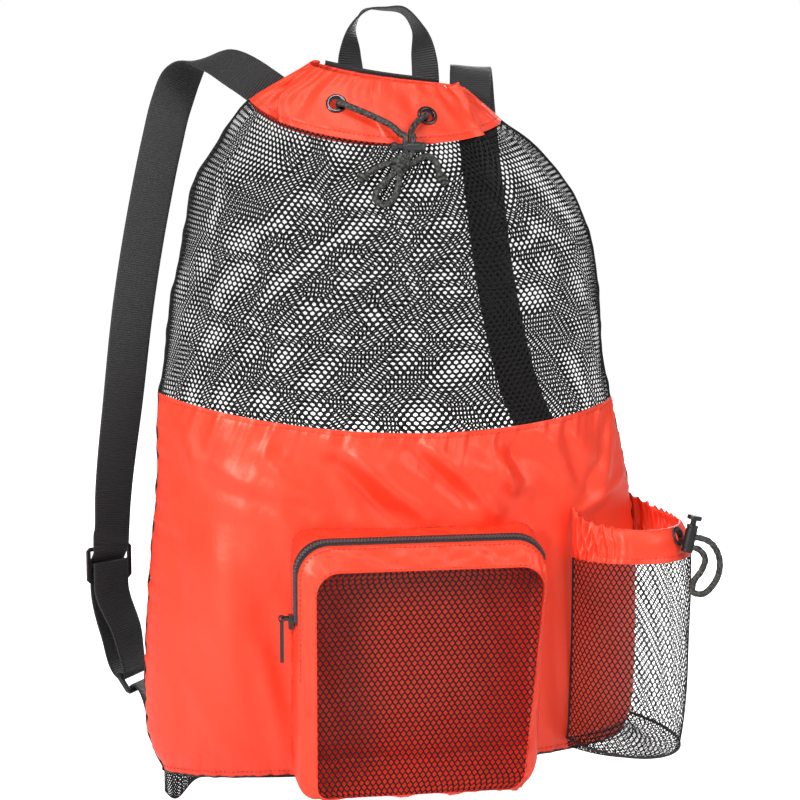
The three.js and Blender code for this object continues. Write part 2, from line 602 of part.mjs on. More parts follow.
function addStrap({ name, strap, slider, ring, tabAngle, tabHeights, tabClear }) {
  const sliderFrame = barFrame(slider);
  const ringFrame = barFrame(ring);
  const layer = SLIDER.thick / 2 + 2 * GAP + WEB / 2; // webbing beside a bar of the slider
  const threaded = [
    station(sliderFrame, -17, layer), station(sliderFrame, -13, layer), station(sliderFrame, -7.5, 0),
    station(sliderFrame, -2, -layer), station(sliderFrame, 15, -layer), station(sliderFrame, 22, -layer),
  ];
  const wrapped = wrapStations(ringFrame, 0, 1);
  const returned = [22, 12, -2].map((downBy) => station(sliderFrame, downBy, layer));
  const lastThreaded = threaded[threaded.length - 1];
  const lastWrapped = wrapped[wrapped.length - 1];
  const stations = [
    ...strap, ...threaded, between(lastThreaded, wrapped[0], 0.55, -5, ringFrame),
    ...wrapped, between(lastWrapped, returned[0], 0.45, 4, ringFrame), ...returned,
  ];
  add(`strap_${name}`, webbing(stations, STRAP_WIDTH), "webbing");

  const inner = SLIDER.width / 2 - SLIDER.rail;
  const halfMid = SLIDER.midBar / 2;
  const top = SLIDER.height / 2 - SLIDER.bar;
  const sliderShape = windowed(SLIDER.width, SLIDER.height, SLIDER.corner, [
    { halfWide: inner, low: halfMid, high: top }, { halfWide: inner, low: -top, high: -halfMid },
  ], SLIDER.thick);
  const up = sliderFrame.down.clone().negate();
  const sliderMesh = add(`slider_${name}`, sliderShape, "plastic");
  basis(sliderFrame.along, up, sliderFrame.along.clone().cross(up), sliderFrame.place)
    .decompose(sliderMesh.position, sliderMesh.quaternion, sliderMesh.scale);

  const reach = RING.pitch / 2 - RING.bar / 2;
  const ringShape = windowed(RING.width, RING.pitch + RING.bar, RING.corner, [
    { halfWide: RING.width / 2 - RING.bar, low: -reach, high: reach },
  ], RING.thick);
  const ringUp = ringFrame.down.clone().negate();
  const ringCentre = ringFrame.place.clone().addScaledVector(ringFrame.down, RING.pitch / 2);
  const ringMesh = add(`ring_${name}`, ringShape, "plastic");
  basis(ringFrame.along, ringUp, ringFrame.along.clone().cross(ringUp), ringCentre)
    .decompose(ringMesh.position, ringMesh.quaternion, ringMesh.scale);

  const hooked = wrapStations(ringFrame, RING.pitch, -1);
  const sewn = tabHeights.map((z) => {
    const out = bodyNormal(tabAngle, z);
    const seat = bodyPoint(tabAngle, z).addScaledVector(out, tabClear + WEB / 2);
    return { x: seat.x, y: seat.y, z, wx: out.y, wy: -out.x, wz: 0 };
  });
  add(`anchor_tab_${name}`, webbing([...hooked, ...sewn], TAB_WIDTH), "webbing");
}

// Cord locks: a barrel with a bore and a plunger that slides into it along +Y
function barrelGeometry(radius, length) {
  const floor = 5;
  const edge = 0.8;
  return turned([
    [0, 0], [radius - edge, 0], [radius, edge], [radius, length - edge], [radius - edge, length],
    [LOCK_BORE, length], [LOCK_BORE, floor], [0, floor],
  ]);
}
function plungerGeometry(headRadius, headThick, neck, depth) {
  const edge = 0.8;
  return turned([
    [0, -depth], [LOCK_STEM, -depth], [LOCK_STEM, neck], [headRadius, neck],
    [headRadius, neck + headThick - edge], [headRadius - edge, neck + headThick], [0, neck + headThick],
  ]);
}
function addLock(name, place, direction, barrel, plunger) {
  const barrelMesh = add(`${name}_barrel`, barrelGeometry(barrel.radius, barrel.length), barrel.finish);
  barrelMesh.position.copy(place);
  barrelMesh.quaternion.copy(turnTo(direction));
  const mouth = place.clone().addScaledVector(direction, barrel.length);
  const stem = plungerGeometry(plunger.head, plunger.thick, plunger.gap, plunger.depth);
  const plungerMesh = add(`${name}_plunger`, stem, barrel.finish);
  plungerMesh.position.copy(mouth);
  plungerMesh.quaternion.copy(turnTo(direction));
}

// Drawcord of the neck: two strands to the lock, and the knotted bow below it
function lump({ x, z, clear, halfX, halfY, halfZ }) {
  const geometry = new THREE.SphereGeometry(1, 10, 6);
  const merged = withoutSlivers(mergeVertices(bare(geometry), 1e-4));
  const p = beforeFront({ x, z, clear });
  return facingOut(merged.scale(halfX, halfY, halfZ).translate(p.x, p.y, p.z));
}
function addDrawcord() {
  const entryZ = COLLAR_LOCK.z + COLLAR_LOCK.radius + 2 * GAP;
  const entry = (x, above) => new THREE.Vector3(x, COLLAR_LOCK.y, entryZ + above);
  const strand = (eyelet, rows, end) => {
    const { place, out } = frontSeat(eyelet.x, eyelet.z);
    const run = rows.map(beforeFront);
    const lean = run[0].clone().sub(place);
    lean.addScaledVector(out, -lean.dot(out)).setLength(EYELET.hole - CORD_RADIUS - GAP);
    const inside = place.clone().add(lean).addScaledVector(out, -5);
    const outside = place.clone().add(lean).addScaledVector(out, 4.5);
    return [inside, outside, ...run, entry(end, 3), entry(end, 0)];
  };
  add("drawcord_left", cord(strand(EYELETS[0], DRAWCORD_LEFT, LOCK_ENTRIES.left), 12), "cord");
  add("drawcord_right", cord(strand(EYELETS[1], DRAWCORD_RIGHT, LOCK_ENTRIES.right), 8), "cord");
  const barrel = { radius: COLLAR_LOCK.radius, length: COLLAR_LOCK.length, finish: "lock" };
  const foot = new THREE.Vector3(COLLAR_LOCK.x + COLLAR_LOCK.length, COLLAR_LOCK.y, COLLAR_LOCK.z);
  const plunger = { head: 4.2, thick: 4.6, gap: 5.2, depth: 8 };
  addLock("collar_lock", foot, new THREE.Vector3(-1, 0, 0), barrel, plunger);
  add("bow_knot", lump(BOW_KNOT), "cord");
  add("bow_loop", cord(BOW_LOOP.map(beforeFront), 16), "cord");
  add("bow_tail_left", cord(BOW_TAIL_LEFT.map(beforeFront), 5), "cord");
  add("bow_tail_right", cord(BOW_TAIL_RIGHT.map(beforeFront), 8), "cord");
  for (const knot of END_KNOTS) add(knot.name, lump(knot), "cord");
}

// Front pocket
function cornerArc(cx, cz, radius, startTurn) {
  const points = [];
  for (let i = 0; i <= CORNER_STEPS; i++) {
    const turn = startTurn + (i / CORNER_STEPS) * (Math.PI / 2);
    points.push({ x: cx + radius * Math.cos(turn), z: cz + radius * Math.sin(turn) });
  }
  return points;
}
// Outline of a pocket ring, anticlockwise seen from the front, from the lower right corner
function pocketOutline(ring, inset) {
  const radius = ring.corner;
  const left = ring.left + inset + radius;
  const top = ring.top - inset - radius;
  const bottom = ring.bottom + inset + radius;
  const corners = [
    cornerArc(ring.low - inset - radius, bottom, radius, -Math.PI / 2),
    cornerArc(ring.right - inset - radius, top, radius, 0),
    cornerArc(left, top, radius, Math.PI / 2),
    cornerArc(left, bottom, radius, Math.PI),
  ];
  const points = [];
  corners.forEach((arc, n) => {
    points.push(...arc);
    const from = arc[CORNER_STEPS];
    const to = corners[(n + 1) % 4][0];
    for (let i = 1; i < EDGE_STEPS; i++) {
      points.push({ x: lerp(from.x, to.x, i / EDGE_STEPS), z: lerp(from.z, to.z, i / EDGE_STEPS) });
    }
  });
  return points;
}
function pocketPoint(n, ring, side) {
  const place = pocketOutline(ring, side * ring.inset * CLOTH)[n];
  const onBag = beforeFront({ x: place.x, z: place.z, clear: GAP + 0.5 }).y;
  const y = ring.y === null ? onBag : ring.y + side * ring.back * CLOTH;
  return new THREE.Vector3(place.x, y, place.z);
}
function addPocket() {
  const count = 4 * (CORNER_STEPS + EDGE_STEPS);
  const bands = POCKET_RINGS.length - 1;
  const point = (u, v, side) => {
    const n = Math.round(u * count) % count;
    return pocketPoint(n, POCKET_RINGS[Math.round(v * bands)], side);
  };
  add("pocket_gusset", wallGeometry(count, bands, point, true), "polyester");

  const rim = POCKET_RINGS[bands];
  const outline = pocketOutline(rim, GAP).map((p) => new THREE.Vector2(p.x, p.z));
  const pane = new THREE.ExtrudeGeometry(new THREE.Shape(outline), { depth: CLOTH, bevelEnabled: false });
  add("pocket_mesh", pane.rotateX(Math.PI / 2).translate(0, rim.y + CLOTH, 0), "net");
  addZip();
}

// Zip along the left side and the top of the pocket, with its slider and hanging pull
function zipRoute() {
  const ring = POCKET_RINGS[1];
  const outline = pocketOutline(ring, -GAP);
  const topRight = CORNER_STEPS + EDGE_STEPS;
  const topLeft = 2 * topRight;
  const route = outline.slice(topRight + 1, topLeft + CORNER_STEPS + 1);
  route.push({ x: ring.left - GAP, z: ZIP.endZ });
  return route;
}
function addZip() {
  const route = zipRoute();
  const last = route.length - 1;
  const point = (u, v, side) => {
    const n = Math.round(v * last);
    const before = route[Math.max(n - 1, 0)];
    const after = route[Math.min(n + 1, last)];
    const length = Math.hypot(after.x - before.x, after.z - before.z);
    const out = (1 - side) * ZIP.thick + 0.3;
    const x = route[n].x + ((after.z - before.z) / length) * out;
    const z = route[n].z - ((after.x - before.x) / length) * out;
    return new THREE.Vector3(x, ZIP.y + (u - 0.5) * ZIP.width, z);
  };
  add("zipper", wallGeometry(2, last, point), "webbing");

  const seatX = POCKET_RINGS[1].left - 2 * GAP;
  const body = new THREE.BoxGeometry(ZIP_SLIDER.deep, ZIP_SLIDER.wide, ZIP_SLIDER.tall);
  body.translate(seatX - ZIP_SLIDER.deep / 2, ZIP.y, ZIP_SLIDER.z - ZIP_SLIDER.tall / 2 + 3);
  const { reach, bar, tall, wide } = ZIP_BRIDGE;
  const openHalf = wide / 2 - 2;
  const opening = { halfWide: reach - bar, low: -openHalf, high: openHalf };
  const bridge = windowed(reach * 2, wide, bar, [opening], tall);
  bridge.translate(seatX - ZIP_SLIDER.deep, ZIP.y, ZIP_SLIDER.z);
  const inside = new THREE.BoxGeometry(reach * 2, wide * 2, ZIP_SLIDER.tall * 2);
  inside.translate(seatX + reach, ZIP.y, ZIP_SLIDER.z);
  add("zip_slider", geometryOf(solid(body).add(solid(bridge)).subtract(solid(inside))), "metal");

  const barX = seatX - ZIP_SLIDER.deep - reach + bar / 2;
  const tab = new THREE.Shape();
  const half = ZIP_PULL.thick / 2;
  const open = Math.asin(half / ZIP_PULL.eye);
  tab.absarc(0, 0, ZIP_PULL.eye, -Math.PI / 2 + open, 1.5 * Math.PI - open, false);
  tab.lineTo(-half, -ZIP_PULL.length).lineTo(half, -ZIP_PULL.length);
  const eye = new THREE.Path().absarc(0, 0, ZIP_PULL.hole, 0, FULL_TURN, true);
  tab.holes.push(eye);
  const extrusion = { depth: ZIP_PULL.wide, bevelEnabled: false, curveSegments: 10 };
  const pull = new THREE.ExtrudeGeometry(tab, extrusion);
  pull.rotateX(Math.PI / 2).translate(barX, ZIP.y + ZIP_PULL.wide / 2, ZIP_SLIDER.z);
  add("zip_pull", pull, "metal");
}

// Bottle pocket: its wall at a share u of the way round, at a height and radius
function bottlePoint(u, z, radius) {
  const turn = lerp(BOTTLE.startAngle, BOTTLE.endAngle, u);
  const place = (share) => {
    const angle = lerp(BOTTLE.startAngle, BOTTLE.endAngle, share);
    return new THREE.Vector3(BOTTLE.x + radius * Math.cos(angle), BOTTLE.y + radius * Math.sin(angle), z);
  };
  const start = beforeFront({ x: BOTTLE.startX, z, clear: GAP + 0.4 });
  const seam = bodyPoint(Math.PI / 2, z);
  const end = new THREE.Vector3(seam.x + CLOTH + 3 * GAP, seam.y + 1, z);
  const p = place(u);
  p.addScaledVector(start.sub(place(0)), (1 - u) ** 5).addScaledVector(end.sub(place(1)), u ** 5);
  return { place: p, out: new THREE.Vector3(Math.cos(turn), Math.sin(turn), 0) };
}
function bottleWallPoint(u, v, side) {
  const wallShare = 0.7; // the rest of v runs along the floor
  const toeZ = BOTTLE.bottomZ - BOTTLE.toeDrop * Math.sin(Math.PI * u);
  const down = Math.min(v / wallShare, 1);
  const z = lerp(BOTTLE.cuffZ - GAP, toeZ, down);
  const radius = lerp(BOTTLE.radius, BOTTLE.toeRadius, down ** 4);
  const wall = bottlePoint(u, z, radius);
  if (v < wallShare) return wall.place.addScaledVector(wall.out, -side * CLOTH);
  const along = (v - wallShare) / (1 - wallShare);
  const seat = beforeFront({ x: lerp(BOTTLE.startX + 3, BOTTLE.x + 20, u), z: BOTTLE.bottomZ, clear: 1.4 });
  const inwards = wall.out.clone().multiplyScalar(-side * CLOTH * (1 - along));
  const p = wall.place.add(inwards).lerp(seat, along);
  p.z += side * CLOTH - BOTTLE.floorSag * Math.sin(Math.PI * along);
  return p;
}
function cuffPoint(u, v, side) {
  const ends = u < 0.5 ? CUFF.leftZ : CUFF.rightZ;
  const topZ = lerp(CUFF.frontZ, ends, Math.abs(2 * u - 1) ** 4);
  const z = lerp(topZ, BOTTLE.cuffZ, v);
  const gathered = Math.sin(u * CUFF.gathers * FULL_TURN) * Math.exp(-((u / 0.22) ** 2)) * u * 5;
  const radius = lerp(BOTTLE.rimRadius, BOTTLE.radius, v ** 0.7);
  const { place, out } = bottlePoint(u, z, radius);
  return place.addScaledVector(out, CUFF.gatherLift * gathered - side * CLOTH);
}
function addBottlePocket() {
  add("bottle_mesh", wallGeometry(18, 10, bottleWallPoint), "net");
  const { angle, z } = BOTTLE_EYELET;
  const share = (angle - BOTTLE.startAngle) / (BOTTLE.endAngle - BOTTLE.startAngle);
  const height = (z - CUFF.frontZ) / (BOTTLE.cuffZ - CUFF.frontZ);
  const seat = cuffPoint(share, height, 0);
  const step = 0.01;
  const along = cuffPoint(share + step, height, 0).sub(seat);
  const down = cuffPoint(share, height + step, 0).sub(seat);
  const out = down.cross(along).normalize();
  const cuff = solid(wallGeometry(26, 3, cuffPoint)).subtract(eyeletHole(seat, out));
  add("bottle_cuff", geometryOf(cuff), "polyester");
  const eyelet = add("bottle_eyelet", eyeletGeometry(), "metal");
  eyelet.position.copy(seat);
  eyelet.quaternion.copy(turnTo(out));

  const level = new THREE.Vector3(out.x, out.y, 0).normalize();
  const axis = new THREE.Vector3(BOTTLE_LOCK_AXIS.x, BOTTLE_LOCK_AXIS.y, BOTTLE_LOCK_AXIS.z).normalize();
  const middle = seat.clone().addScaledVector(level, EYELET.height + BOTTLE_LOCK.radius + BOTTLE_LOCK.clear);
  const foot = middle.addScaledVector(axis, -BOTTLE_LOCK.length / 2);
  const barrel = { radius: BOTTLE_LOCK.radius, length: BOTTLE_LOCK.length, finish: "plastic" };
  const plunger = {
    head: BOTTLE_LOCK.cap, thick: BOTTLE_LOCK.capThick, gap: BOTTLE_LOCK.stemGap, depth: 9,
  };
  addLock("bottle_lock", foot, axis, barrel, plunger);
  add("bottle_cord", cord(BOTTLE_CORD.map((row) => new THREE.Vector3(row.x, row.y, row.z)), 22), "cord");
}

addCollar();
addBody();
addYoke();
for (const side of SIDES) addStrap(side);
addDrawcord();
addPocket();
addBottlePocket();

export default bag;
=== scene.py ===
"""Swim backpack: its cloth, nets, webbing, cords and fittings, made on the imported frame.

Tables and functions work in millimetres in the frame's own axes: +Z up, the front faces -Y, and the
origin is under the top of the hanging loop. Meshes are written in metres.
"""

import bpy
import numpy as np
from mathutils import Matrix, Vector


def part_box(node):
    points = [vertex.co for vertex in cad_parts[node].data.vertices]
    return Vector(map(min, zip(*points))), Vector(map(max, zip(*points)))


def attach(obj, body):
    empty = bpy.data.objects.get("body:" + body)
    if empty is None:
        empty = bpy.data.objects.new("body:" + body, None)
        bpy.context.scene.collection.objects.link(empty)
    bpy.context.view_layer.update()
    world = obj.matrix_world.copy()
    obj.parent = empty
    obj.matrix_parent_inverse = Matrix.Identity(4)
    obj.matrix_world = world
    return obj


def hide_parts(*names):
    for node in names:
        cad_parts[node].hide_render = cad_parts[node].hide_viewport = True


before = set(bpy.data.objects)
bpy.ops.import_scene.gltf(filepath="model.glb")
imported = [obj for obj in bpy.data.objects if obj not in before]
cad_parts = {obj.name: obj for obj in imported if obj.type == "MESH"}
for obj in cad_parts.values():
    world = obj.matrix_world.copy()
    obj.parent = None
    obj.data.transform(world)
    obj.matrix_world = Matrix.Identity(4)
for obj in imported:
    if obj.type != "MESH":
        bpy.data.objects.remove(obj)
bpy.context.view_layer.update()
MM = 0.001
TURN = 2 * np.pi

# Camera of the photograph: a long lens a little left of the front and above the bag's middle
CAMERA_PLACE = (-238.0, -1595.5, -159.3)
CAMERA_TARGET = (10.5, -27.0, -354.3)
CAMERA_LENS = 78.3
CAMERA_SENSOR = 36.0
# Soft lights in metres: place, target, size and power
LIGHTS = {
    "top_light": ((-0.1, -1.75, 2.3), (0, -0.1, -0.45), 0.7, 26.0),
    "key_light": ((-1.5, -1.5, 0.45), (0, 0, -0.45), 0.6, 44.0),
    "back_light": ((0.9, 2.2, 0.6), (0, 0, -0.4), 1.2, 40.0),
    "fill_light": ((1.6, -1.5, 0.75), (0, 0, -0.4), 1.2, 22.0),
}
ROOM_LIGHT, FLOOR_GLOW = 0.26, 0.8
FLOOR_Z, FLOOR_HALF = -726.0, 6000.0

# Body of the bag: height, half width, middle, depth of the front and depth of the back
BODY = np.array([
    (-50, 61, -13, 24, 20),
    (-65, 81, -17, 30, 24),
    (-80, 102, -20, 37, 29),
    (-100, 123, -18, 46, 35),
    (-120, 143, -10, 55, 42),
    (-150, 167, -6, 68, 52),
    (-180, 180, -1, 79, 60),
    (-215, 189, 2, 89, 67),
    (-265, 198, 0, 98, 73),
    (-310, 202, -1, 102, 76),
    (-355, 210, 0, 105, 78),
    (-425, 219, 7, 108, 80),
    (-496, 227, 8, 108, 81),
    (-583, 231, 6, 105, 80),
    (-646, 230, 5, 96, 76),
    (-672, 224, 4, 86, 70),
    (-692, 212, 2, 72, 62),
], float)
HALF_WIDTH, MIDDLE, FRONT, BACK = 1, 2, 3, 4
SEAM_Y = -27.0
BULGE_POWER = 1.24
# Edges round the bag: height at the middle, rise at the sides and tilt to the right
RIM_EDGE, RIM_BACK_RISE = (-66, 5, -10), 7
NECK_EDGE = (-122, 31, -8)
SEAM_EDGE = (-370, 22, -5)
FRONT_HEM_EDGE, BACK_HEM_EDGE = (-676, -8, 9), (-684, 0, 9)
BASE_SAG = 14.0
FOOT_X, FOOT_REACH, FOOT_DROP = -201.0, 16.0, 27.0

# Folds of the coral panel: the line that each runs along, its width and how far it stands out
PANEL_FOLDS = (
    (-146, -384, -156, -640, 26, 6),
    (-62, -400, -76, -580, 30, -6),
    (92, -385, 58, -470, 22, 6),
    (176, -420, 150, -560, 20, -5),
    (-70, -385, 30, -412, 15, 6),
    (20, -386, 110, -420, 14, 7.5),
    (60, -380, 150, -408, 13, -6),
    (150, -378, 205, -428, 14, 7.5),
    (-130, -380, -60, -402, 14, -4.5),
    (-165, -470, -135, -640, 15, 4.5),
    (-60, -396, -8, -452, 8, -6),
    (-44, -392, 18, -446, 8, 6),
    (4, -386, 52, -430, 9, -7.5),
    (20, -384, 76, -440, 8, 6),
    (74, -382, 92, -420, 7, 6.75),
    (92, -380, 104, -416, 6, -5.25),
    (126, -376, 150, -416, 8, 6.75),
    (146, -374, 164, -420, 6, -6),
    (196, -372, 172, -430, 5, -4.5),
    (206, -374, 184, -440, 6, 5.25),
    (166, -452, 214, -424, 6, 4.5),
    (-122, -386, -96, -420, 9, 4.5),
    (-188, -374, -176, -420, 8, 5.25),
    (-196, -470, -190, -660, 8, -3.75),
    (-126, -560, -108, -664, 9, 4.5),
    (-60, -430, 30, -448, 12, -3.75),
    (134, -470, 146, -640, 10, -4.5),
    (-166, -450, -170, -640, 42, 8),
    (-112, -500, -116, -660, 24, -4),
    (-176, -396, -110, -428, 10, 5),
    (-150, -420, -84, -440, 9, -4.5),
    (-186, -600, -132, -676, 11, 4),
)
# Puckers of the panel: height and two wave lengths, and how far they reach from the seam, hem and sides
SEAM_PUCKER, HEM_PUCKER, SIDE_PUCKER = (3.4, 23, 47), (1.5, 19, 43), (1.2, 22, 51)
SEAM_REACH, SEAM_REACH_CHANGE, HEM_REACH, SIDE_REACH = 15, 7, 12, 0.02
SEAM_SLANT, SEAM_DENT, SEAM_DENT_WIDTH, SEAM_DENT_Z = 0.35, 0.5, 1.4, 4
PANEL_SLACK = 1.7
GATHER_COUNT, GATHER_LIFT, GATHER_FADE, GATHER_NARROW = 9, 3.0, 60.0, 1.6
# Folds of the front net, most of them from the collar down, given in the same way
NET_FOLDS = (
    (-84, -104, -122, -218, 12, 5),
    (-70, -112, -96, -190, 9, -4),
    (-30, -124, -52, -178, 8, 2.5),
    (40, -126, 62, -190, 9, 2.5),
    (84, -112, 128, -214, 12, 4.5),
    (72, -118, 104, -200, 9, -3.5),
    (-118, -240, -60, -200, 26, 6),
    (30, -205, 120, -240, 26, 5),
)

# Collar's folds: side, place round the front, lean, crest and its width, recess and its fade, crease
COLLAR_FOLDS = (
    (-1, 0.66, 0.26, 4.5, 0.06, 24, 0.16, 7),
    (1, 0.66, 0.24, 4.0, 0.05, 18, 0.13, 6),
)
CREASE_PLACE, CREASE_WIDTH, FOLD_EDGE = 0.03, 0.014, 0.02
# Peaks of the collar's rim: height, place round the front and width
COLLAR_PEAKS = ((7, -0.97, 0.06), (5, 0.9, 0.05))
COLLAR_CASING, COLLAR_STITCH_SHARE, COLLAR_FLAT_ROUND_EYELET = 1.8, 0.1, 17
YOKE_START, YOKE_END = np.pi - 0.9, np.pi + 0.75
YOKE_RISE, YOKE_WIDTH, YOKE_CLEAR, YOKE_THICK = 5, 21, 1.9, 1.4

# Machine stitches, and folded tape round the seams
STITCH_LENGTH, STITCH_GAP, THREAD_RADIUS, THREAD_PROUD = 3.0, 1.3, 0.42, 0.25
SEAM_STITCH_BELOW, HEM_STITCH_ABOVE = 4.2, 5
SIDE_TAPE_MIDDLE, SIDE_TAPE_SPREAD, SIDE_TAPE_WAVE = 0.028, 0.03, 0.9
BACK_HEM_TAPE, FRONT_HEM_TAPE, TOE_TAPE, BOTTLE_SIDE_TAPE = 2.2, 1.8, 1.2, 1.0

# Nets: cells across and down, slope of a cell's ends, and its hole as a share of it
UPPER_NET = (92, 62, 0.26, 0.68)
LOWER_NET = (92, 76, 0.26, 0.68)
BASE_NET = (84, 34, 0.26, 0.52)
POCKET_NET = (36, 48, 0.16, 0.71)
BOTTLE_NET = (46, 42, 0.12, 0.77)
BOTTLE_FLOOR_NET = (46, 13, 0.2, 0.66)
NET_RIDGE, NET_SINK, LEAST_CELL, BACK_SWAY = 0.45, 0.4, 0.3, 0.014

# Cords and what they pass through
CORD_RADIUS = 2.8
BRAID_CARRIERS, BRAID_PITCH, BRAID_STEP, BRAID_SIDES = 4, 6.5, 0.7, 20
BRAID_CORE, BRAID_RELIEF = 0.93, 0.11
EYELETS = {"eyelet_left": (-52, -88), "eyelet_right": (28, -98)}
EYELET_HOLE, EYELET_FLANGE, EYELET_HEIGHT, EYELET_DEPTH = 6.0, 9.5, 2.4, 3.0
EYELET_WALL, EYELET_LIFT, EYELET_ROLL = 0.9, 0.7, 1.0
HOLE_EASE, HOLE_REACH = 0.6, 12
LOCK_BORE, LOCK_FLOOR, LOCK_EDGE = 2.9, 5, 0.7
LOCK_FOOT_GROOVE, LOCK_MOUTH_GROOVE = (2.6, 4, 0.5), (4, 2.4, 0.4)
STEM_RADIUS, STEM_DEPTH, STEM_EDGE = 2.6, 8, 0.9
LOCK_PLACE = np.array((2.0, -96.0, -125.5))
LOCK_RADIUS, LOCK_LENGTH, LOCK_GRIP = 4.4, 19.5, 3.0
LOCK_HEAD, LOCK_GAP = (4.2, 4.6), 5.2
LOCK_ENTRIES = {"left": 4.5, "right": 11.0}
# Routes over the front of the bag: x, z and how far the cord's middle stands off the net
STRANDS = {
    "left": ((-40, -91, 7), (-28, -96, 7), (-15, -102, 7.5), (-5, -108, 9), (0.5, -114, 11)),
    "right": ((20, -101, 8), (14.5, -106.5, 9), (10.5, -113, 11)),
}
BOW_KNOT = (-1, -140.4, 9.6)
BOW_LOOP = (
    (-2, -143, 9.6), (-6.8, -147.9, 9.8), (-15, -156, 8), (-22, -163, 7), (-24, -170, 7), (-18, -175, 7),
    (-10, -172, 7), (-5, -163, 8), (-2.5, -150.4, 9.8), (-2, -145, 9.6),
)
BOW_TAILS = {
    "left": (
        (5, -138, 10), (-3, -139, 10), (-11.4, -139.8, 9.6), (-20, -143, 7.5), (-29, -148.5, 7.4),
        (-34, -152, 7.5),
    ),
    "right": (
        (0, -141, 10), (9.5, -139.4, 10), (18, -134.5, 9), (25, -133.5, 8), (31, -138, 7.5), (33, -146, 7.5),
        (35.5, -152.6, 8),
    ),
}
# Knots: place, axis, turns of cord, radius and pitch of the turns, and radius of the cord drawn tight
KNOTS = {
    "bow_knot": (BOW_KNOT, (0.75, 0.1, 0.66), 3.0, 5.8, 4.8, CORD_RADIUS),
    "end_knot_left": (BOW_TAILS["left"][-1], (0.8, 0, 0.6), 2.0, 3.0, 4.2, 2.2),
    "end_knot_right": (BOW_TAILS["right"][-1], (0.25, 0, -0.97), 2.4, 3.0, 4.4, 2.2),
}
KNOT_TAPER, KNOT_POINTS = 3.0, 14
BOTTLE_CORD = (
    (258, -135, -469), (260.2, -136, -469), (269.9, -144, -472), (276.9, -145, -482), (278.9, -145, -496),
    (273.9, -144, -510), (263.9, -142, -519), (255.9, -141, -517), (256.9, -140, -508), (263.9, -140, -498),
    (266.9, -140, -487), (260.7, -136, -479), (257.2, -134.6, -478.3),
)

# Webbing: where its middle runs and which way its width points
STRAP_WIDTH, LOOP_WIDTH, TAB_WIDTH, WEB = 38.0, 25.0, 30.0, 2.0
GRAB_LOOP = (
    (-30, 6.3, -88, 1, 0, 0),
    (-30, 1.4, -66, 1, 0.1, 0),
    (-31, 2, -40, 0.85, 0.5, 0.1),
    (-28, 0, -15, 0.35, 0.95, 0.1),
    (-16, 0, 0, 0, 1, 0.1),
    (0, 0, 1, 0, 1, 0),
    (17, 0, 0, 0, 1, -0.1),
    (31, 0, -16, -0.35, 0.95, 0.1),
    (37, 0, -43, -0.85, 0.5, 0.1),
    (38.5, -1.4, -72, -0.97, 0.24, 0),
    (39, 4.4, -94, -0.97, 0.24, 0),
)
STRAP_LEFT = (
    (-80, 6, -92, 0.5, 0.1, 0.86),
    (-104, 7, -74, 0.5, 0.1, 0.86),
    (-128, 14, -57, 0.4, 0.3, 0.86),
    (-150, 30, -45, 0.65, 0.5, 0.55),
    (-168, 46, -45, 0.85, 0.5, 0.2),
    (-182, 56, -60, 0.97, 0.2, 0),
    (-191, 58, -82, 1, 0, 0),
    (-201, 57, -120, 1, -0.05, 0),
    (-212, 55, -170, 1, -0.05, 0),
    (-229, 52, -264, 1, 0, 0),
    (-241, 48, -358, 0.97, 0.2, 0),
    (-252, 42, -450, 0.88, 0.45, 0),
    (-254, 37, -484, 0.83, 0.54, 0),
)
STRAP_RIGHT = (
    (78, -5, -96, 0.9, -0.44, -0.08),
    (80, -1, -76, 0.95, -0.3, -0.08),
    (82, 9, -56, 1, -0.1, -0.08),
    (86, 27, -49, 1, 0, -0.08),
    (91, 41, -62, 1, 0, -0.08),
    (96, 50, -92, 1, 0, 0),
    (106, 60, -160, 1, 0, 0),
    (122, 70, -260, 1, 0, 0),
    (148, 77, -360, 0.98, -0.2, 0),
    (187, 69, -450, 0.93, -0.37, 0),
    (197, 63, -484, 0.9, -0.44, 0),
)
SLIDER_THICK, RING_PITCH, WRAP_RADIUS, SEAT_GAP = 3.0, 18.0, 4.7, 0.4
# Each side: middle of the slider and of the ring's upper bar, directions along the bars and down the ring,
# and the tab's place round the bag
SIDES = {
    "left": {
        "strap": STRAP_LEFT, "slider": (-257, 35, -511), "slider_along": (0.83, 0.54, 0),
        "ring": (-238, 22, -612), "ring_along": (0.55, 0.83, 0), "ring_down": (0.5, -0.35, -0.79),
        "tab_angle": 1.5 * np.pi - 0.33, "tab_heights": (-648, -662, -676), "tab_clear": 0.5,
    },
    "right": {
        "strap": STRAP_RIGHT, "slider": (204, 60, -511), "slider_along": (0.9, -0.44, 0),
        "ring": (230, 32, -612), "ring_along": (0.7, -0.71, 0), "ring_down": (-0.3, -0.35, -0.84),
        "tab_angle": np.pi / 2 + 0.53, "tab_heights": (-646, -660, -673), "tab_clear": 0.0,
    },
}

# Front pocket: depth, left, right, right at the bottom, bottom, top and corner radius of its rings
POCKET_RINGS = (
    (None, -99, 115, 115, -664, -453, 18),
    (-152, -101, 117, 113, -674, -456, 26),
    (-168, -98, 116, 107, -679, -461, 28),
    (-178, -84, 112, 96, -676, -481, 20),
)
POCKET_CORNERS = (0.8, 1.0, 1.0, 0.5)
# Gusset's creases behind the zip and before it, and the shares of the way forward where it is stitched
CREASE_BEHIND, CREASE_BEFORE = 3.4, 2.7
FOOT_STITCH, ZIP_STITCH, WINDOW_STITCH, WINDOW_LIP = 0.0, 2.12, 2.86, 1.6
# Points of a pocket ring at each corner and between them, and where its edges start, from its lower right
CORNER_POINTS, EDGE_POINTS = 10, 21
RIGHT_EDGE = CORNER_POINTS
TOP_RIGHT = CORNER_POINTS + EDGE_POINTS
LEFT_EDGE = 2 * TOP_RIGHT + CORNER_POINTS
LOWER_LEFT = 3 * TOP_RIGHT
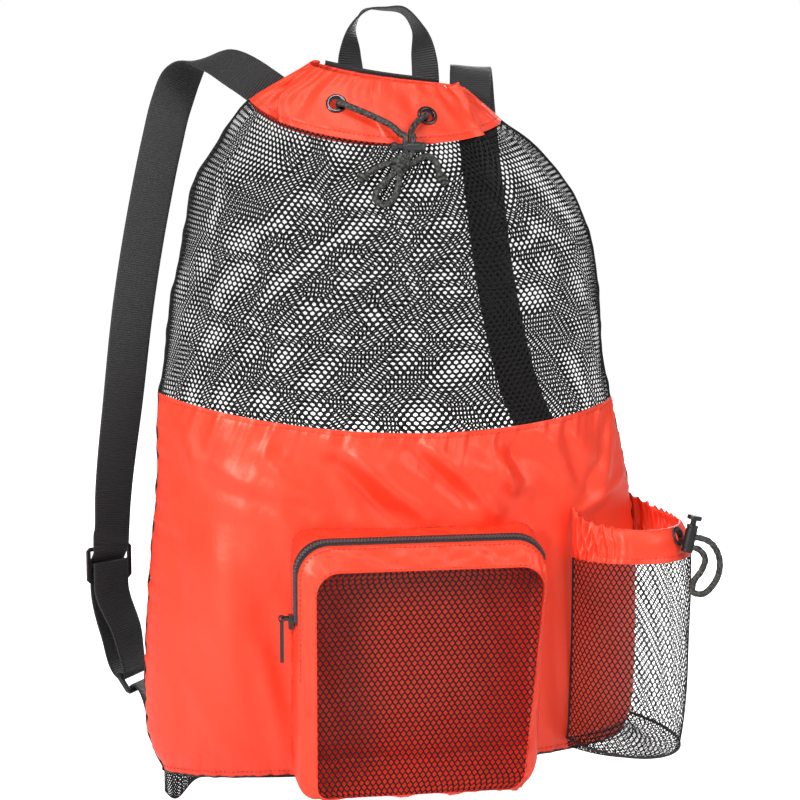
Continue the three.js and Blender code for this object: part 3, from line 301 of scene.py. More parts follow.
# Zip: its edges as shares of the way forward, its end, rows across its tape and its coil, and coil sizes
ZIP_SHARES, ZIP_END_Z = (1.15, 1.8), -518.0
ZIP_ROWS, COIL_ROWS, ZIP_STEP, ZIP_HALF = 21, 4, 0.4, 5
# A coil's teeth are about 1.5 mm apart, too fine to show, so they are drawn 2.9 mm apart
TOOTH_PITCH, TOOTH_RELIEF, COIL_LIFT, COIL_BODY, COIL_GROOVE = 2.9, 1.5, 0.5, 0.3, 0.4

# Bottle pocket
BOTTLE_X, BOTTLE_Y = 212.0, -87.0
BOTTLE_RADIUS, RIM_RADIUS, TOE_RADIUS = 57.0, 47.0, 51.0
BOTTLE_START, BOTTLE_END = np.radians(197), np.radians(425)
BOTTLE_START_X, CUFF_Z, BOTTLE_BOTTOM_Z = 155.0, -490.0, -661.0
TOE_DROP, FLOOR_SAG = 9.0, 8.0
CUFF_FRONT_Z, CUFF_LEFT_Z, CUFF_RIGHT_Z = -462.0, -446.0, -447.0
BOTTLE_EYELET_ANGLE, BOTTLE_EYELET_Z = np.radians(312), -470.0
BOTTLE_LOCK_RADIUS, BOTTLE_LOCK_LENGTH = 5.2, 25.0
BOTTLE_LOCK_HEAD, BOTTLE_LOCK_GAP, BOTTLE_LOCK_AXIS = (6.6, 4.0), 4.6, (0.22, 0.0, 0.975)
BOTTLE_END_ANGLE, BOTTLE_EASE = np.pi / 2 + 0.12, 5
CUFF_CASING, CUFF_STITCH_SHARE, CUFF_WAVES, CUFF_SWELL = 1.6, 0.84, 165, 0.7
# Gathers at the cuff's ends: strength, place and width, and their height on the wall and at the rim
CUFF_GATHERS = ((1.0, 0.08, 0.1), (0.8, 0.88, 0.14))
CUFF_GATHER_HEIGHT, CUFF_RIM_HEIGHT = 3.4, 2.2


# Smooth tables and routes
def hermite(known, values, slopes, wanted):
    """Smooth curve through values at known, rising places, read at the wanted ones."""
    i = np.clip(np.searchsorted(known, wanted, side="right") - 1, 0, len(known) - 2)
    step = (known[i + 1] - known[i])[..., None]
    t = np.clip((wanted - known[i])[..., None] / step, 0, 1)
    start = (2 * t**3 - 3 * t**2 + 1) * values[i] + (t**3 - 2 * t**2 + t) * step * slopes[i]
    end = (3 * t**2 - 2 * t**3) * values[i + 1] + (t**3 - t**2) * step * slopes[i + 1]
    return start + end


def body_row(column, z):
    """A column of the body table at heights z."""
    drop = -BODY[:, 0]
    value = BODY[:, column]
    before = np.maximum(np.arange(len(drop)) - 1, 0)
    after = np.minimum(np.arange(len(drop)) + 1, len(drop) - 1)
    slope = (value[after] - value[before]) / (drop[after] - drop[before])
    wanted = -np.asarray(z, float)
    return hermite(drop, value[:, None], slope[:, None], wanted)[..., 0]


def route(points, spacing):
    """Evenly spaced rows on a smooth curve through rows of points: the first three columns are a place."""
    rows = np.array(points, float)
    known = np.concatenate(([0], np.cumsum(np.linalg.norm(np.diff(rows[:, :3], axis=0), axis=1))))
    slopes = np.gradient(rows, known, axis=0)
    fine = np.linspace(0, known[-1], 8 * int(known[-1] / spacing) + 64)
    curve = hermite(known, rows, slopes, fine)
    length = np.concatenate(([0], np.cumsum(np.linalg.norm(np.diff(curve[:, :3], axis=0), axis=1))))
    even = np.linspace(0, length[-1], max(int(round(length[-1] / spacing)), 2) + 1)
    return np.stack([np.interp(even, length, column) for column in curve.T], axis=1), even


def unit(vectors):
    """Vectors of length one."""
    return vectors / np.linalg.norm(vectors, axis=-1, keepdims=True)


def ripple(a, b):
    """Uneven waves from about -1 to 1, the same on each run."""
    crossed = 0.7 * np.sin(1.73 * b + 0.6 * a + 1.1)
    small = 0.5 * np.sin(2.9 * a - 0.8 * b + 2.3)
    return (np.sin(a) + crossed + small) / 2.2


def hump(x, middle, width):
    """Soft hump of height one."""
    return np.exp(-(((x - middle) / width) ** 2))


# The bag's surface
def body_point(angle, z):
    """Point of the bag at an angle round it: 0 is the front and a quarter turn the right seam."""
    angle, z = np.broadcast_arrays(np.asarray(angle, float), np.asarray(z, float))
    across = np.cos(angle)
    depth = np.where(across >= 0, body_row(FRONT, z), body_row(BACK, z))
    y = SEAM_Y - np.sign(across) * depth * np.abs(across) ** BULGE_POWER
    x = body_row(MIDDLE, z) + body_row(HALF_WIDTH, z) * np.sin(angle)
    return np.stack((x, y, z), axis=-1)


def body_normal(angle, z):
    """Level direction out of the bag there."""
    step = 0.01
    along = body_point(angle + step, z) - body_point(angle - step, z)
    return unit(np.stack((along[..., 1], -along[..., 0], np.zeros_like(along[..., 0])), axis=-1))


def skin(angle, z, lift):
    """Point that stands out of the bag's surface."""
    return body_point(angle, z) + body_normal(angle, z) * np.asarray(lift, float)[..., None]


def front_angle(x, z):
    """Angle on the front where the bag has this x."""
    share = (np.asarray(x, float) - body_row(MIDDLE, z)) / body_row(HALF_WIDTH, z)
    return np.arcsin(np.clip(share, -1, 1))


def before_front(x, z, clear):
    """Points that stand clear of the front of the bag."""
    point = body_point(front_angle(x, z), z)
    point[..., 0] = x
    point[..., 1] -= clear
    return point


def front_seat(x, z):
    """Place and outward direction of the front at x, z."""
    place = before_front(x, z, 0)
    right = before_front(x + 0.5, z, 0) - place
    up = before_front(x, z + 0.5, 0) - place
    return place, unit(np.cross(right, up))


def edge_z(row, angle):
    """Height of an edge round the bag."""
    middle, rise, tilt = row
    s = np.sin(angle)
    return middle + rise * s**2 + tilt * s


def rim_z(angle):
    """Height of the collar's rim, lower at the right and higher behind."""
    return edge_z(RIM_EDGE, angle) + RIM_BACK_RISE * np.maximum(0, -np.cos(angle))


def neck_z(angle):
    """Height of the seam between the collar and the net."""
    return edge_z(NECK_EDGE, angle)


def seam_z(angle):
    """Height of the seam between the net and the coral panel."""
    return edge_z(SEAM_EDGE, angle)


def hem_z(angle):
    """Height of the lower hem, before and behind."""
    return np.where(np.cos(angle) >= 0, edge_z(FRONT_HEM_EDGE, angle), edge_z(BACK_HEM_EDGE, angle))


def ridges(folds, x, z):
    """Sum of soft ridges and valleys, each along its own line over the front."""
    lift = np.zeros_like(x)
    for x1, z1, x2, z2, width, height in folds:
        dx, dz = x2 - x1, z2 - z1
        t = np.clip(((x - x1) * dx + (z - z1) * dz) / (dx**2 + dz**2), 0, 1)
        off = np.hypot(x - x1 - t * dx, z - z1 - t * dz)
        lift += height * hump(off, 0, width) * (0.55 + 0.45 * np.sin(np.pi * t))
    return lift


def gather_lift(angle, z):
    """Slack of the net below the drawn neck: broad folds, and narrow ones close to it."""
    fade = np.exp((z - neck_z(angle)) / GATHER_FADE)
    broad = GATHER_LIFT * np.sin(GATHER_COUNT * angle) * np.cos(angle) * fade
    narrow = GATHER_NARROW * ripple(31 * angle, 0.03 * z) * fade**1.5
    small = (narrow + ripple(7 * angle, 0.045 * z)) * np.abs(np.cos(angle))
    front = np.clip(np.cos(angle), 0, 1)
    x = body_point(angle, z)[..., 0]
    return broad + ridges(NET_FOLDS, x, z) * front + small


def pucker(along, row):
    """Uneven waves along a seam, from their height and two wave lengths."""
    height, length, other_length = row
    return height * ripple(along * TURN / length, along * TURN / other_length)


def fold_lift(angle, z):
    """Folds of the coral panel, with puckers at its top seam, hem and sides."""
    x = body_point(angle, z)[..., 0]
    below = seam_z(angle) - z
    above = z - hem_z(angle)
    from_side = 1 - np.abs(np.sin(angle))
    reach = SEAM_REACH + SEAM_REACH_CHANGE * np.sin(x / 29)
    fade = np.exp(-below / reach) * (1 - np.exp(-below / SEAM_DENT_Z))
    seam = pucker(x + SEAM_SLANT * below, SEAM_PUCKER) * fade
    hem = pucker(x, HEM_PUCKER) * np.exp(-above / HEM_REACH)
    sides = pucker(z, SIDE_PUCKER) * np.exp(-from_side / SIDE_REACH)
    dent = -SEAM_DENT * hump(below, SEAM_DENT_Z, SEAM_DENT_WIDTH)
    slack = PANEL_SLACK * ripple(x / 15 + z / 27, z / 19 - x / 50)
    return (ridges(PANEL_FOLDS, x, z) + slack) * np.cos(angle) + seam + hem + sides + dent


# Meshes
def grid_faces(rows, columns, wrap=False):
    """Corner numbers of the quads of a grid of points."""
    across = columns if wrap else columns - 1
    r, c = np.meshgrid(np.arange(rows - 1), np.arange(across), indexing="ij")
    right = (c + 1) % columns
    corners = (r * columns + c, r * columns + right, (r + 1) * columns + right, (r + 1) * columns + c)
    return np.stack(corners, axis=-1).reshape(-1, 4)


def piece(name, points, faces, finish, replaces=(), uv=None, body="bag"):
    """Smooth mesh of points in mm that rides on a body, with its finish and the solids it stands for."""
    mesh = bpy.data.meshes.new(name)
    flat = np.ascontiguousarray(np.reshape(points, (-1, 3)) * MM, dtype=np.float32)
    faces = np.ascontiguousarray(faces, dtype=np.int32)
    mesh.vertices.add(len(flat))
    mesh.vertices.foreach_set("co", flat.ravel())
    mesh.loops.add(faces.size)
    mesh.loops.foreach_set("vertex_index", faces.ravel())
    mesh.polygons.add(len(faces))
    mesh.polygons.foreach_set("loop_start", np.arange(0, faces.size, faces.shape[1], dtype=np.int32))
    mesh.polygons.foreach_set("use_smooth", np.ones(len(faces), dtype=bool))
    if uv is not None:
        layer = mesh.uv_layers.new(name="run")
        runs = np.reshape(uv, (-1, 2))[faces.ravel()] * MM
        layer.data.foreach_set("uv", np.ascontiguousarray(runs, dtype=np.float32).ravel())
    mesh.update(calc_edges=True)
    mesh.validate()
    made = bpy.data.objects.new(name, mesh)
    bpy.context.scene.collection.objects.link(made)
    mesh.materials.append(finish)
    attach(made, body)
    if replaces:
        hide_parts(*replaces)
    return made


def rings_round(path, sides):
    """Angles round a path and the directions out of it at each of them, without needless twist."""
    along = unit(np.gradient(path, axis=0))
    beside = np.empty_like(path)
    last = np.cross(along[0], (0.3, 0.2, 0.93))
    for i, direction in enumerate(along):
        last = last - direction * np.dot(last, direction)
        last = last / np.linalg.norm(last)
        beside[i] = last
    over = np.cross(along, beside)
    turn = np.linspace(0, TURN, sides, endpoint=False)
    return turn, np.cos(turn)[:, None] * beside[:, None, :] + np.sin(turn)[:, None] * over[:, None, :]


def braid(points, radius, taper):
    """Grid of a round cord with the raised plaits of a braid, and the path that it follows."""
    path, run = route(points, BRAID_STEP)
    turn, ring = rings_round(path, BRAID_SIDES)
    sweep = run[:, None] * TURN / BRAID_PITCH
    plait = np.maximum(np.cos(BRAID_CARRIERS * turn + sweep), np.cos(BRAID_CARRIERS * turn - sweep))
    reach = radius * (BRAID_CORE + BRAID_RELIEF * plait)
    if taper:
        ends = np.minimum(run, run[-1] - run)
        reach = reach * np.clip(ends / taper, 0.15, 1)[:, None] ** 0.5
    grid = path[:, None, :] + ring * reach[..., None]
    uv = np.stack(np.broadcast_arrays(run[:, None], radius * turn), axis=-1)
    return grid, uv, path


def cord_piece(name, points, replaces, radius=CORD_RADIUS, taper=0.0):
    """Braided cord along points, and the path that it follows."""
    grid, uv, path = braid(points, radius, taper)
    faces = grid_faces(*grid.shape[:2], wrap=True)
    return piece(name, grid, faces, BRAIDED_CORD, replaces, uv), path


def tape_tube(name, points, radius):
    """Folded grosgrain tape round a seam."""
    path, run = route(points, 2.0)
    turn, ring = rings_round(path, 10)
    grid = path[:, None, :] + ring * radius
    uv = np.stack(np.broadcast_arrays(run[:, None], radius * turn), axis=-1)
    return piece(name, grid, grid_faces(*grid.shape[:2], wrap=True), GROSGRAIN, uv=uv)


def turned(name, place, axis, profile, finish, replaces, body="bag", sides=40):
    """Piece turned about an axis from a profile of radius and height."""
    axis = unit(np.array(axis, float))
    beside = unit(np.cross(axis, (0.31, 0.17, 0.93)))
    over = np.cross(axis, beside)
    turn = np.linspace(0, TURN, sides, endpoint=False)
    ring = np.cos(turn)[:, None] * beside + np.sin(turn)[:, None] * over
    radius, height = np.array(profile, float).T
    grid = place + radius[:, None, None] * ring + height[:, None, None] * axis
    return piece(name, grid, grid_faces(len(radius), sides, wrap=True), finish, replaces, body=body)


def rounded(corners, edge, steps=4):
    """Profile through corners with each inner corner rounded off."""
    points = np.array(corners, float)
    out = [points[0]]
    for before, at, after in zip(points, points[1:], points[2:]):
        back = unit(before - at) * min(edge, np.linalg.norm(before - at) / 2)
        on = unit(after - at) * min(edge, np.linalg.norm(after - at) / 2)
        for t in np.linspace(0, 1, steps + 1):
            out.append(at + back * (1 - t) ** 2 + on * t**2)
    out.append(points[-1])
    return np.array(out)


def flat_section(width, thick):
    """Outline of webbing across its run: across and over, with soft edges."""
    turn = np.linspace(0, TURN, 16, endpoint=False)
    across = width / 2 * np.sign(np.cos(turn)) * np.abs(np.cos(turn)) ** 0.22
    over = thick / 2 * np.sign(np.sin(turn)) * np.abs(np.sin(turn)) ** 0.55
    return across, over


def webbing_piece(name, stations, width, replaces):
    """Flat webbing along stations of place and width direction, closed at its ends."""
    rows, run = route(stations, 1.6)
    path = rows[:, :3]
    along = unit(np.gradient(path, axis=0))
    wide = rows[:, 3:]
    wide = unit(wide - along * np.sum(wide * along, axis=1, keepdims=True))
    over = np.cross(along, wide)
    across, lift = flat_section(width, WEB)
    grid = path[:, None, :] + across[:, None] * wide[:, None, :] + lift[:, None] * over[:, None, :]
    ends = np.stack((np.repeat(path[:1], len(across), axis=0), np.repeat(path[-1:], len(across), axis=0)))
    grid = np.concatenate((ends[:1], grid, ends[1:]))
    run = np.concatenate((run[:1], run, run[-1:]))
    uv = np.stack(np.broadcast_arrays(run[:, None], across), axis=-1)
    faces = grid_faces(len(run), len(across), wrap=True)
    return piece(name, grid, faces, RIBBED_WEBBING, replaces, uv)


def net_piece(name, surface, cells, replaces=()):
    """Knitted net: a brick of six-sided cells over a surface of shares u, v, each strand a low ridge."""
    columns, rows, slope, hole = cells
    c, r = (a.ravel() for a in np.meshgrid(np.arange(columns + 1), np.arange(rows + 1)))
    corner_u = np.array((0, 0.5, 0.5, 0, -0.5, -0.5))
    corner_v = np.array((1 - slope, slope, -slope, -1 + slope, -slope, slope))
    shift = 0.5 * (r % 2)
    middle = np.stack(((c + shift) / columns, r / rows), axis=-1)
    corners = np.stack(((c + shift)[:, None] + corner_u, r[:, None] + corner_v), axis=-1) / (columns, rows)
    inner = middle[:, None, :] + (corners - middle[:, None, :]) * hole
    corners, inner = np.clip(corners, 0, 1), np.clip(inner, 0, 1)
    size = np.ptp(corners, axis=1)
    kept = (size[:, 0] > LEAST_CELL / columns) & (size[:, 1] > LEAST_CELL / rows)
    corners, inner = corners[kept], inner[kept]
    high = surface(corners[..., 0], corners[..., 1], NET_RIDGE)
    low = surface(inner[..., 0], inner[..., 1], 0.0)
    points = np.concatenate((high, low), axis=1)
    k = np.arange(6)
    ring = np.stack((k, (k + 1) % 6, (k + 1) % 6 + 6, k + 6), axis=-1)
    faces = (np.arange(len(points)) * 12)[:, None, None] + ring
    return piece(name, points, faces.reshape(-1, 4), KNITTED_NET, replaces)


def stitch_piece(name, lines):
    """Rows of machine stitches: each line is its points and the directions out of the cloth there."""
    shares = np.array((0, 0.14, 0.5, 0.86, 1))
    fat = np.array((0.1, 0.85, 1, 0.85, 0.1)) * THREAD_RADIUS
    turn = np.linspace(0, TURN, 4, endpoint=False)
    grids = []
    for points, normals in lines:
        run = np.concatenate(([0], np.cumsum(np.linalg.norm(np.diff(points, axis=0), axis=1))))
        starts = np.arange(STITCH_GAP / 2, run[-1] - STITCH_LENGTH, STITCH_LENGTH + STITCH_GAP)
        at = starts[:, None] + shares * STITCH_LENGTH
        place = np.stack([np.interp(at, run, column) for column in points.T], axis=-1)
        out = unit(np.stack([np.interp(at, run, column) for column in normals.T], axis=-1))
        along = unit(place[:, -1:] - place[:, :1])
        side = np.cross(along, out)
        ring = np.cos(turn)[:, None] * side[..., None, :] + np.sin(turn)[:, None] * out[..., None, :]
        sunk = place + out * (THREAD_RADIUS * (np.sin(np.pi * shares) - 0.35))[:, None]
        grids.append(sunk[..., None, :] + ring * fat[:, None, None])
    points = np.concatenate(grids)
    one = grid_faces(len(shares), len(turn), wrap=True)
    faces = (np.arange(len(points)) * len(shares) * len(turn))[:, None, None] + one
    return piece(name, points, faces.reshape(-1, 4), CORAL_THREAD)


def cut_hole(grid, faces, place, out):
    """Faces of a cloth that are left when an eyelet's hole is cut out of it."""
    off = grid.reshape(-1, 3)[faces].mean(axis=1) - place
    depth = off @ out
    away = np.linalg.norm(off - depth[:, None] * out, axis=1)
    return faces[(away > EYELET_HOLE + HOLE_EASE) | (np.abs(depth) > HOLE_REACH)]


def bevelled_copy(node, finish, edge, body="bag"):
    """Moulded piece: the solid's own shape with its edges rounded off."""
    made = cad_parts[node].copy()
    made.data = made.data.copy()
    made.name = f"{node}_moulded"
    for key in list(made.keys()):
        del made[key]
    made.parent = None
    bpy.context.scene.collection.objects.link(made)
    weld = made.modifiers.new("weld", "WELD")
    weld.merge_threshold = 1e-5
    bevel = made.modifiers.new("edges", "BEVEL")
    bevel.width = edge * MM
    bevel.segments = 3
    bevel.limit_method = "ANGLE"
    made.data.materials.clear()
    made.data.materials.append(finish)
    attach(made, body)
    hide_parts(node)
    return made


# Finishes
def linear(hex_colour):
    """sRGB hex colour as the linear colour that a shader takes."""
    share = np.array([int(hex_colour[i:i + 2], 16) for i in (1, 3, 5)]) / 255
    value = np.where(share <= 0.04045, share / 12.92, ((share + 0.055) / 1.055) ** 2.4)
    return (*value, 1.0)


def node_link(tree, kind, inputs, **settings):
    """Adds a shader node with its settings and links: an input is a value or another node's output."""
    made = tree.nodes.new(kind)
    for name, value in settings.items():
        setattr(made, name, value)
    for name, value in inputs.items():
        if isinstance(value, bpy.types.NodeSocket):
            tree.links.new(value, made.inputs[name])
        else:
            made.inputs[name].default_value = value
    return made


def band_scale(period_mm):
    """Scale at which a wave texture repeats once in this many millimetres."""
    return TURN / 20 / (period_mm * MM)


def grain_scale(size_mm):
    """Scale at which a noise texture's grains are about this many millimetres wide."""
    return 1 / (size_mm * MM)


def new_finish(name):
    """Empty material and its node tree."""
    made = bpy.data.materials.new(name)
    made.use_nodes = True
    made.node_tree.nodes.clear()
    return made, made.node_tree


def woven_polyester():
    """Polyester taffeta, dyed coral and calendered: a satin gleam on a faint, even weave."""
    made, tree = new_finish("coral_polyester_taffeta")
    place = node_link(tree, "ShaderNodeTexCoord", {}).outputs["Object"]
    shade = node_link(tree, "ShaderNodeTexNoise", {"Vector": place, "Scale": grain_scale(60), "Detail": 3.0})
    ramp = node_link(tree, "ShaderNodeValToRGB", {"Fac": shade.outputs["Fac"]})
    ramp.color_ramp.elements[0].color = linear("#ed381f")
    ramp.color_ramp.elements[0].position = 0.3
    ramp.color_ramp.elements[1].color = linear("#f13c23")
    ramp.color_ramp.elements[1].position = 0.7
    # Threads are about 0.15 mm apart, too fine to show, so they are drawn 1.3 mm apart
    threads = {"Vector": place, "Scale": band_scale(1.3), "Distortion": 1.5}
    warp = node_link(tree, "ShaderNodeTexWave", threads, bands_direction="X")
    weft = node_link(tree, "ShaderNodeTexWave", threads, bands_direction="Z")
    crossing = {0: warp.outputs["Fac"], 1: weft.outputs["Fac"]}
    weave = node_link(tree, "ShaderNodeMath", crossing, operation="MULTIPLY")
    crumple = node_link(tree, "ShaderNodeTexNoise", {
        "Vector": place, "Scale": grain_scale(20), "Detail": 3.0,
    })
    soft = node_link(tree, "ShaderNodeBump", {
        "Height": crumple.outputs["Fac"], "Strength": 0.5, "Distance": 2.2 * MM,
    })
    bump = node_link(tree, "ShaderNodeBump", {
        "Height": weave.outputs["Value"], "Strength": 0.1, "Distance": 0.2 * MM,
        "Normal": soft.outputs["Normal"],
    })
    shader = node_link(tree, "ShaderNodeBsdfPrincipled", {
        "Base Color": ramp.outputs["Color"], "Normal": bump.outputs["Normal"], "Roughness": 0.44,
        "IOR": 1.5, "Specular IOR Level": 0.9, "Specular Tint": linear("#ffc8b4"),
    })
    node_link(tree, "ShaderNodeOutputMaterial", {"Surface": shader.outputs["BSDF"]})
    return made


def knitted_net():
    """Black warp-knit polyester net: matt twisted strands with small glints."""
    made, tree = new_finish("black_polyester_net")
    place = node_link(tree, "ShaderNodeTexCoord", {}).outputs["Object"]
    twist = node_link(tree, "ShaderNodeTexNoise", {"Vector": place, "Scale": grain_scale(1.2), "Detail": 1.0})
    ramp = node_link(tree, "ShaderNodeValToRGB", {"Fac": twist.outputs["Fac"]})
    ramp.color_ramp.elements[0].color = linear("#040405")
    ramp.color_ramp.elements[1].color = linear("#101012")
    bump = node_link(tree, "ShaderNodeBump", {
        "Height": twist.outputs["Fac"], "Strength": 0.5, "Distance": 0.3 * MM,
    })
    shader = node_link(tree, "ShaderNodeBsdfPrincipled", {
        "Base Color": ramp.outputs["Color"], "Normal": bump.outputs["Normal"],
        "Roughness": 0.55, "IOR": 1.5, "Specular IOR Level": 0.2,
    })
    node_link(tree, "ShaderNodeOutputMaterial", {"Surface": shader.outputs["BSDF"]})
    return made


def ribbed_webbing(name, rib_mm, dark, light):
    """Black woven webbing or tape: raised weft ribs across its run, with a painted highlight in grey on the
    rib crests and random yarn tone.
    """
    made, tree = new_finish(name)
    run = node_link(tree, "ShaderNodeTexCoord", {}).outputs["UV"]
    rib = node_link(tree, "ShaderNodeTexWave", {
        "Vector": run, "Scale": band_scale(rib_mm), "Distortion": 0.3, "Detail": 1.0, "Detail Scale": 2.0,
    }, bands_direction="X")
    yarn = node_link(tree, "ShaderNodeTexNoise", {"Vector": run, "Scale": grain_scale(0.9), "Detail": 1.0})
    height = node_link(tree, "ShaderNodeMath", {0: yarn.outputs["Fac"], 1: 0.35, 2: rib.outputs["Fac"]},
                       operation="MULTIPLY_ADD")
    # Colour follows the height: the rib crests get a painted highlight in the lighter grey and the hollows
    # keep the black, with random yarn tone mixed in.
    ramp = node_link(tree, "ShaderNodeValToRGB", {"Fac": height.outputs["Value"]})
    ramp.color_ramp.elements[0].color = linear(dark)
    ramp.color_ramp.elements[0].position = 0.2
    ramp.color_ramp.elements[1].color = linear(light)
    bump = node_link(tree, "ShaderNodeBump", {
        "Height": height.outputs["Value"], "Strength": 0.7, "Distance": 0.6 * MM,
    })
    shader = node_link(tree, "ShaderNodeBsdfPrincipled", {
        "Base Color": ramp.outputs["Color"], "Normal": bump.outputs["Normal"],
        "Roughness": 0.55, "IOR": 1.5, "Sheen Weight": 0.1,
    })
    node_link(tree, "ShaderNodeOutputMaterial", {"Surface": shader.outputs["BSDF"]})
    return made


def braided_cord():
    """Black and charcoal braided polyester cord: pale flecks on the plaits, matt between them."""
    made, tree = new_finish("black_braided_polyester_cord")
    run = node_link(tree, "ShaderNodeTexCoord", {}).outputs["UV"]
    fleck = node_link(tree, "ShaderNodeTexNoise", {"Vector": run, "Scale": grain_scale(2.1), "Detail": 2.0})
    ramp = node_link(tree, "ShaderNodeValToRGB", {"Fac": fleck.outputs["Fac"]})
    ramp.color_ramp.elements[0].color = linear("#060607")
    ramp.color_ramp.elements[0].position = 0.44
    ramp.color_ramp.elements[1].color = linear("#4d4d48")
    ramp.color_ramp.elements[1].position = 0.62
    bump = node_link(tree, "ShaderNodeBump", {
        "Height": fleck.outputs["Fac"], "Strength": 0.5, "Distance": 0.4 * MM,
    })
    shader = node_link(tree, "ShaderNodeBsdfPrincipled", {
        "Base Color": ramp.outputs["Color"], "Normal": bump.outputs["Normal"], "Roughness": 0.6, "IOR": 1.5,
    })
    node_link(tree, "ShaderNodeOutputMaterial", {"Surface": shader.outputs["BSDF"]})
    return made


def plated_metal():
    """Brass plated with black nickel: dark, bright at its rolled edges, with fine handling marks."""
    made, tree = new_finish("black_nickel_plated_brass")
    place = node_link(tree, "ShaderNodeTexCoord", {}).outputs["Object"]
    marks = node_link(tree, "ShaderNodeTexNoise", {"Vector": place, "Scale": grain_scale(2), "Detail": 4.0})
    rough = node_link(tree, "ShaderNodeMapRange", {
        "Value": marks.outputs["Fac"], "To Min": 0.18, "To Max": 0.24,
    })
    shader = node_link(tree, "ShaderNodeBsdfPrincipled", {
        "Base Color": linear("#4c4b4f"), "Metallic": 1.0, "Roughness": rough.outputs["Result"],
    })
    node_link(tree, "ShaderNodeOutputMaterial", {"Surface": shader.outputs["BSDF"]})
    return made


def lacquered_zinc():
    """Die-cast zinc under black lacquer: smooth, with a soft shine on its edges."""
    made, tree = new_finish("black_lacquered_zinc")
    place = node_link(tree, "ShaderNodeTexCoord", {}).outputs["Object"]
    flow = node_link(tree, "ShaderNodeTexNoise", {"Vector": place, "Scale": grain_scale(3), "Detail": 2.0})
    rough = node_link(tree, "ShaderNodeMapRange", {
        "Value": flow.outputs["Fac"], "To Min": 0.22, "To Max": 0.4,
    })
    shader = node_link(tree, "ShaderNodeBsdfPrincipled", {
        "Base Color": linear("#141416"), "Roughness": rough.outputs["Result"],
        "IOR": 1.5, "Coat Weight": 0.3,
    })
    node_link(tree, "ShaderNodeOutputMaterial", {"Surface": shader.outputs["BSDF"]})
    return made


def moulded_plastic(name, colour, shine):
    """Acetal from a mould, or nylon from a die: an even colour under a fine matt texture."""
    made, tree = new_finish(name)
    place = node_link(tree, "ShaderNodeTexCoord", {}).outputs["Object"]
    grit = node_link(tree, "ShaderNodeTexNoise", {"Vector": place, "Scale": grain_scale(0.7), "Detail": 2.0})
    rough = node_link(tree, "ShaderNodeMapRange", {
        "Value": grit.outputs["Fac"], "To Min": shine, "To Max": shine + 0.18,
    })
    bump = node_link(tree, "ShaderNodeBump", {
        "Height": grit.outputs["Fac"], "Strength": 0.15, "Distance": 0.1 * MM,
    })
    shader = node_link(tree, "ShaderNodeBsdfPrincipled", {
        "Base Color": linear(colour), "Normal": bump.outputs["Normal"],
        "Roughness": rough.outputs["Result"], "IOR": 1.48,
    })
    node_link(tree, "ShaderNodeOutputMaterial", {"Surface": shader.outputs["BSDF"]})
    return made


def sewing_thread():
    """Coral polyester thread: coloured a little deeper than the cloth as painted shade, since thread sits in
    its own shade.
    """
    made, tree = new_finish("coral_sewing_thread")
    place = node_link(tree, "ShaderNodeTexCoord", {}).outputs["Object"]
    ply = node_link(tree, "ShaderNodeTexNoise", {"Vector": place, "Scale": grain_scale(0.8)})
    # Painted shade: both colours are deeper than the cloth, with random ply tone between them.
    ramp = node_link(tree, "ShaderNodeValToRGB", {"Fac": ply.outputs["Fac"]})
    ramp.color_ramp.elements[0].color = linear("#b5240f")
    ramp.color_ramp.elements[1].color = linear("#e23d22")
    shader = node_link(tree, "ShaderNodeBsdfPrincipled", {
        "Base Color": ramp.outputs["Color"], "Roughness": 0.5,
    })
    node_link(tree, "ShaderNodeOutputMaterial", {"Surface": shader.outputs["BSDF"]})
    return made


def pale_floor():
    """Plain white studio floor, which the picture shows nearly as white as the backdrop."""
    made, tree = new_finish("white_studio_floor")
    seen = node_link(tree, "ShaderNodeLightPath", {}).outputs["Is Camera Ray"]
    glow = node_link(tree, "ShaderNodeMath", {0: seen, 1: FLOOR_GLOW}, operation="MULTIPLY")
    shader = node_link(tree, "ShaderNodeBsdfPrincipled", {
        "Base Color": linear("#f4f4f4"), "Roughness": 0.7, "Emission Color": (1, 1, 1, 1),
        "Emission Strength": glow.outputs["Value"],
    })
    node_link(tree, "ShaderNodeOutputMaterial", {"Surface": shader.outputs["BSDF"]})
    return made


CORAL_CLOTH = woven_polyester()
KNITTED_NET = knitted_net()
# The second colour of each ribbed webbing or tape is the painted highlight on its rib crests.
RIBBED_WEBBING = ribbed_webbing("black_polypropylene_webbing", 2.2, "#060607", "#1d1d20")
GROSGRAIN = ribbed_webbing("black_grosgrain_tape", 1.4, "#070708", "#18181a")
BRAIDED_CORD = braided_cord()
PLATED_METAL = plated_metal()
BLACK_LACQUER = lacquered_zinc()
BLACK_ACETAL = moulded_plastic("black_moulded_acetal", "#161618", 0.32)
GREY_ACETAL = moulded_plastic("grey_moulded_acetal", "#2c2e30", 0.24)
NYLON_COIL = moulded_plastic("grey_nylon_zip_coil", "#48484b", 0.3)
# Its second colour is the painted highlight on the rib crests.
ZIP_TAPE = ribbed_webbing("black_woven_zip_tape", 1.4, "#020203", "#0a0a0b")
CORAL_THREAD = sewing_thread()


# Studio
def make_camera():
    """Camera at the photograph's place."""
    data = bpy.data.cameras.new("camera")
    data.lens = CAMERA_LENS
    data.sensor_width = CAMERA_SENSOR
    data.clip_end = 50
    made = bpy.data.objects.new("camera", data)
    made.location = Vector(CAMERA_PLACE) * MM
    made.rotation_euler = (Vector(CAMERA_TARGET) - Vector(CAMERA_PLACE)).to_track_quat("-Z", "Y").to_euler()
    bpy.context.scene.collection.objects.link(made)
    bpy.context.scene.camera = made


def make_light(name, place, target, size, power):
    """Soft square light."""
    data = bpy.data.lights.new(name, "AREA")
    data.size = size
    data.energy = power
    made = bpy.data.objects.new(name, data)
    made.location = place
    made.rotation_euler = (Vector(target) - Vector(place)).to_track_quat("-Z", "Y").to_euler()
    bpy.context.scene.collection.objects.link(made)


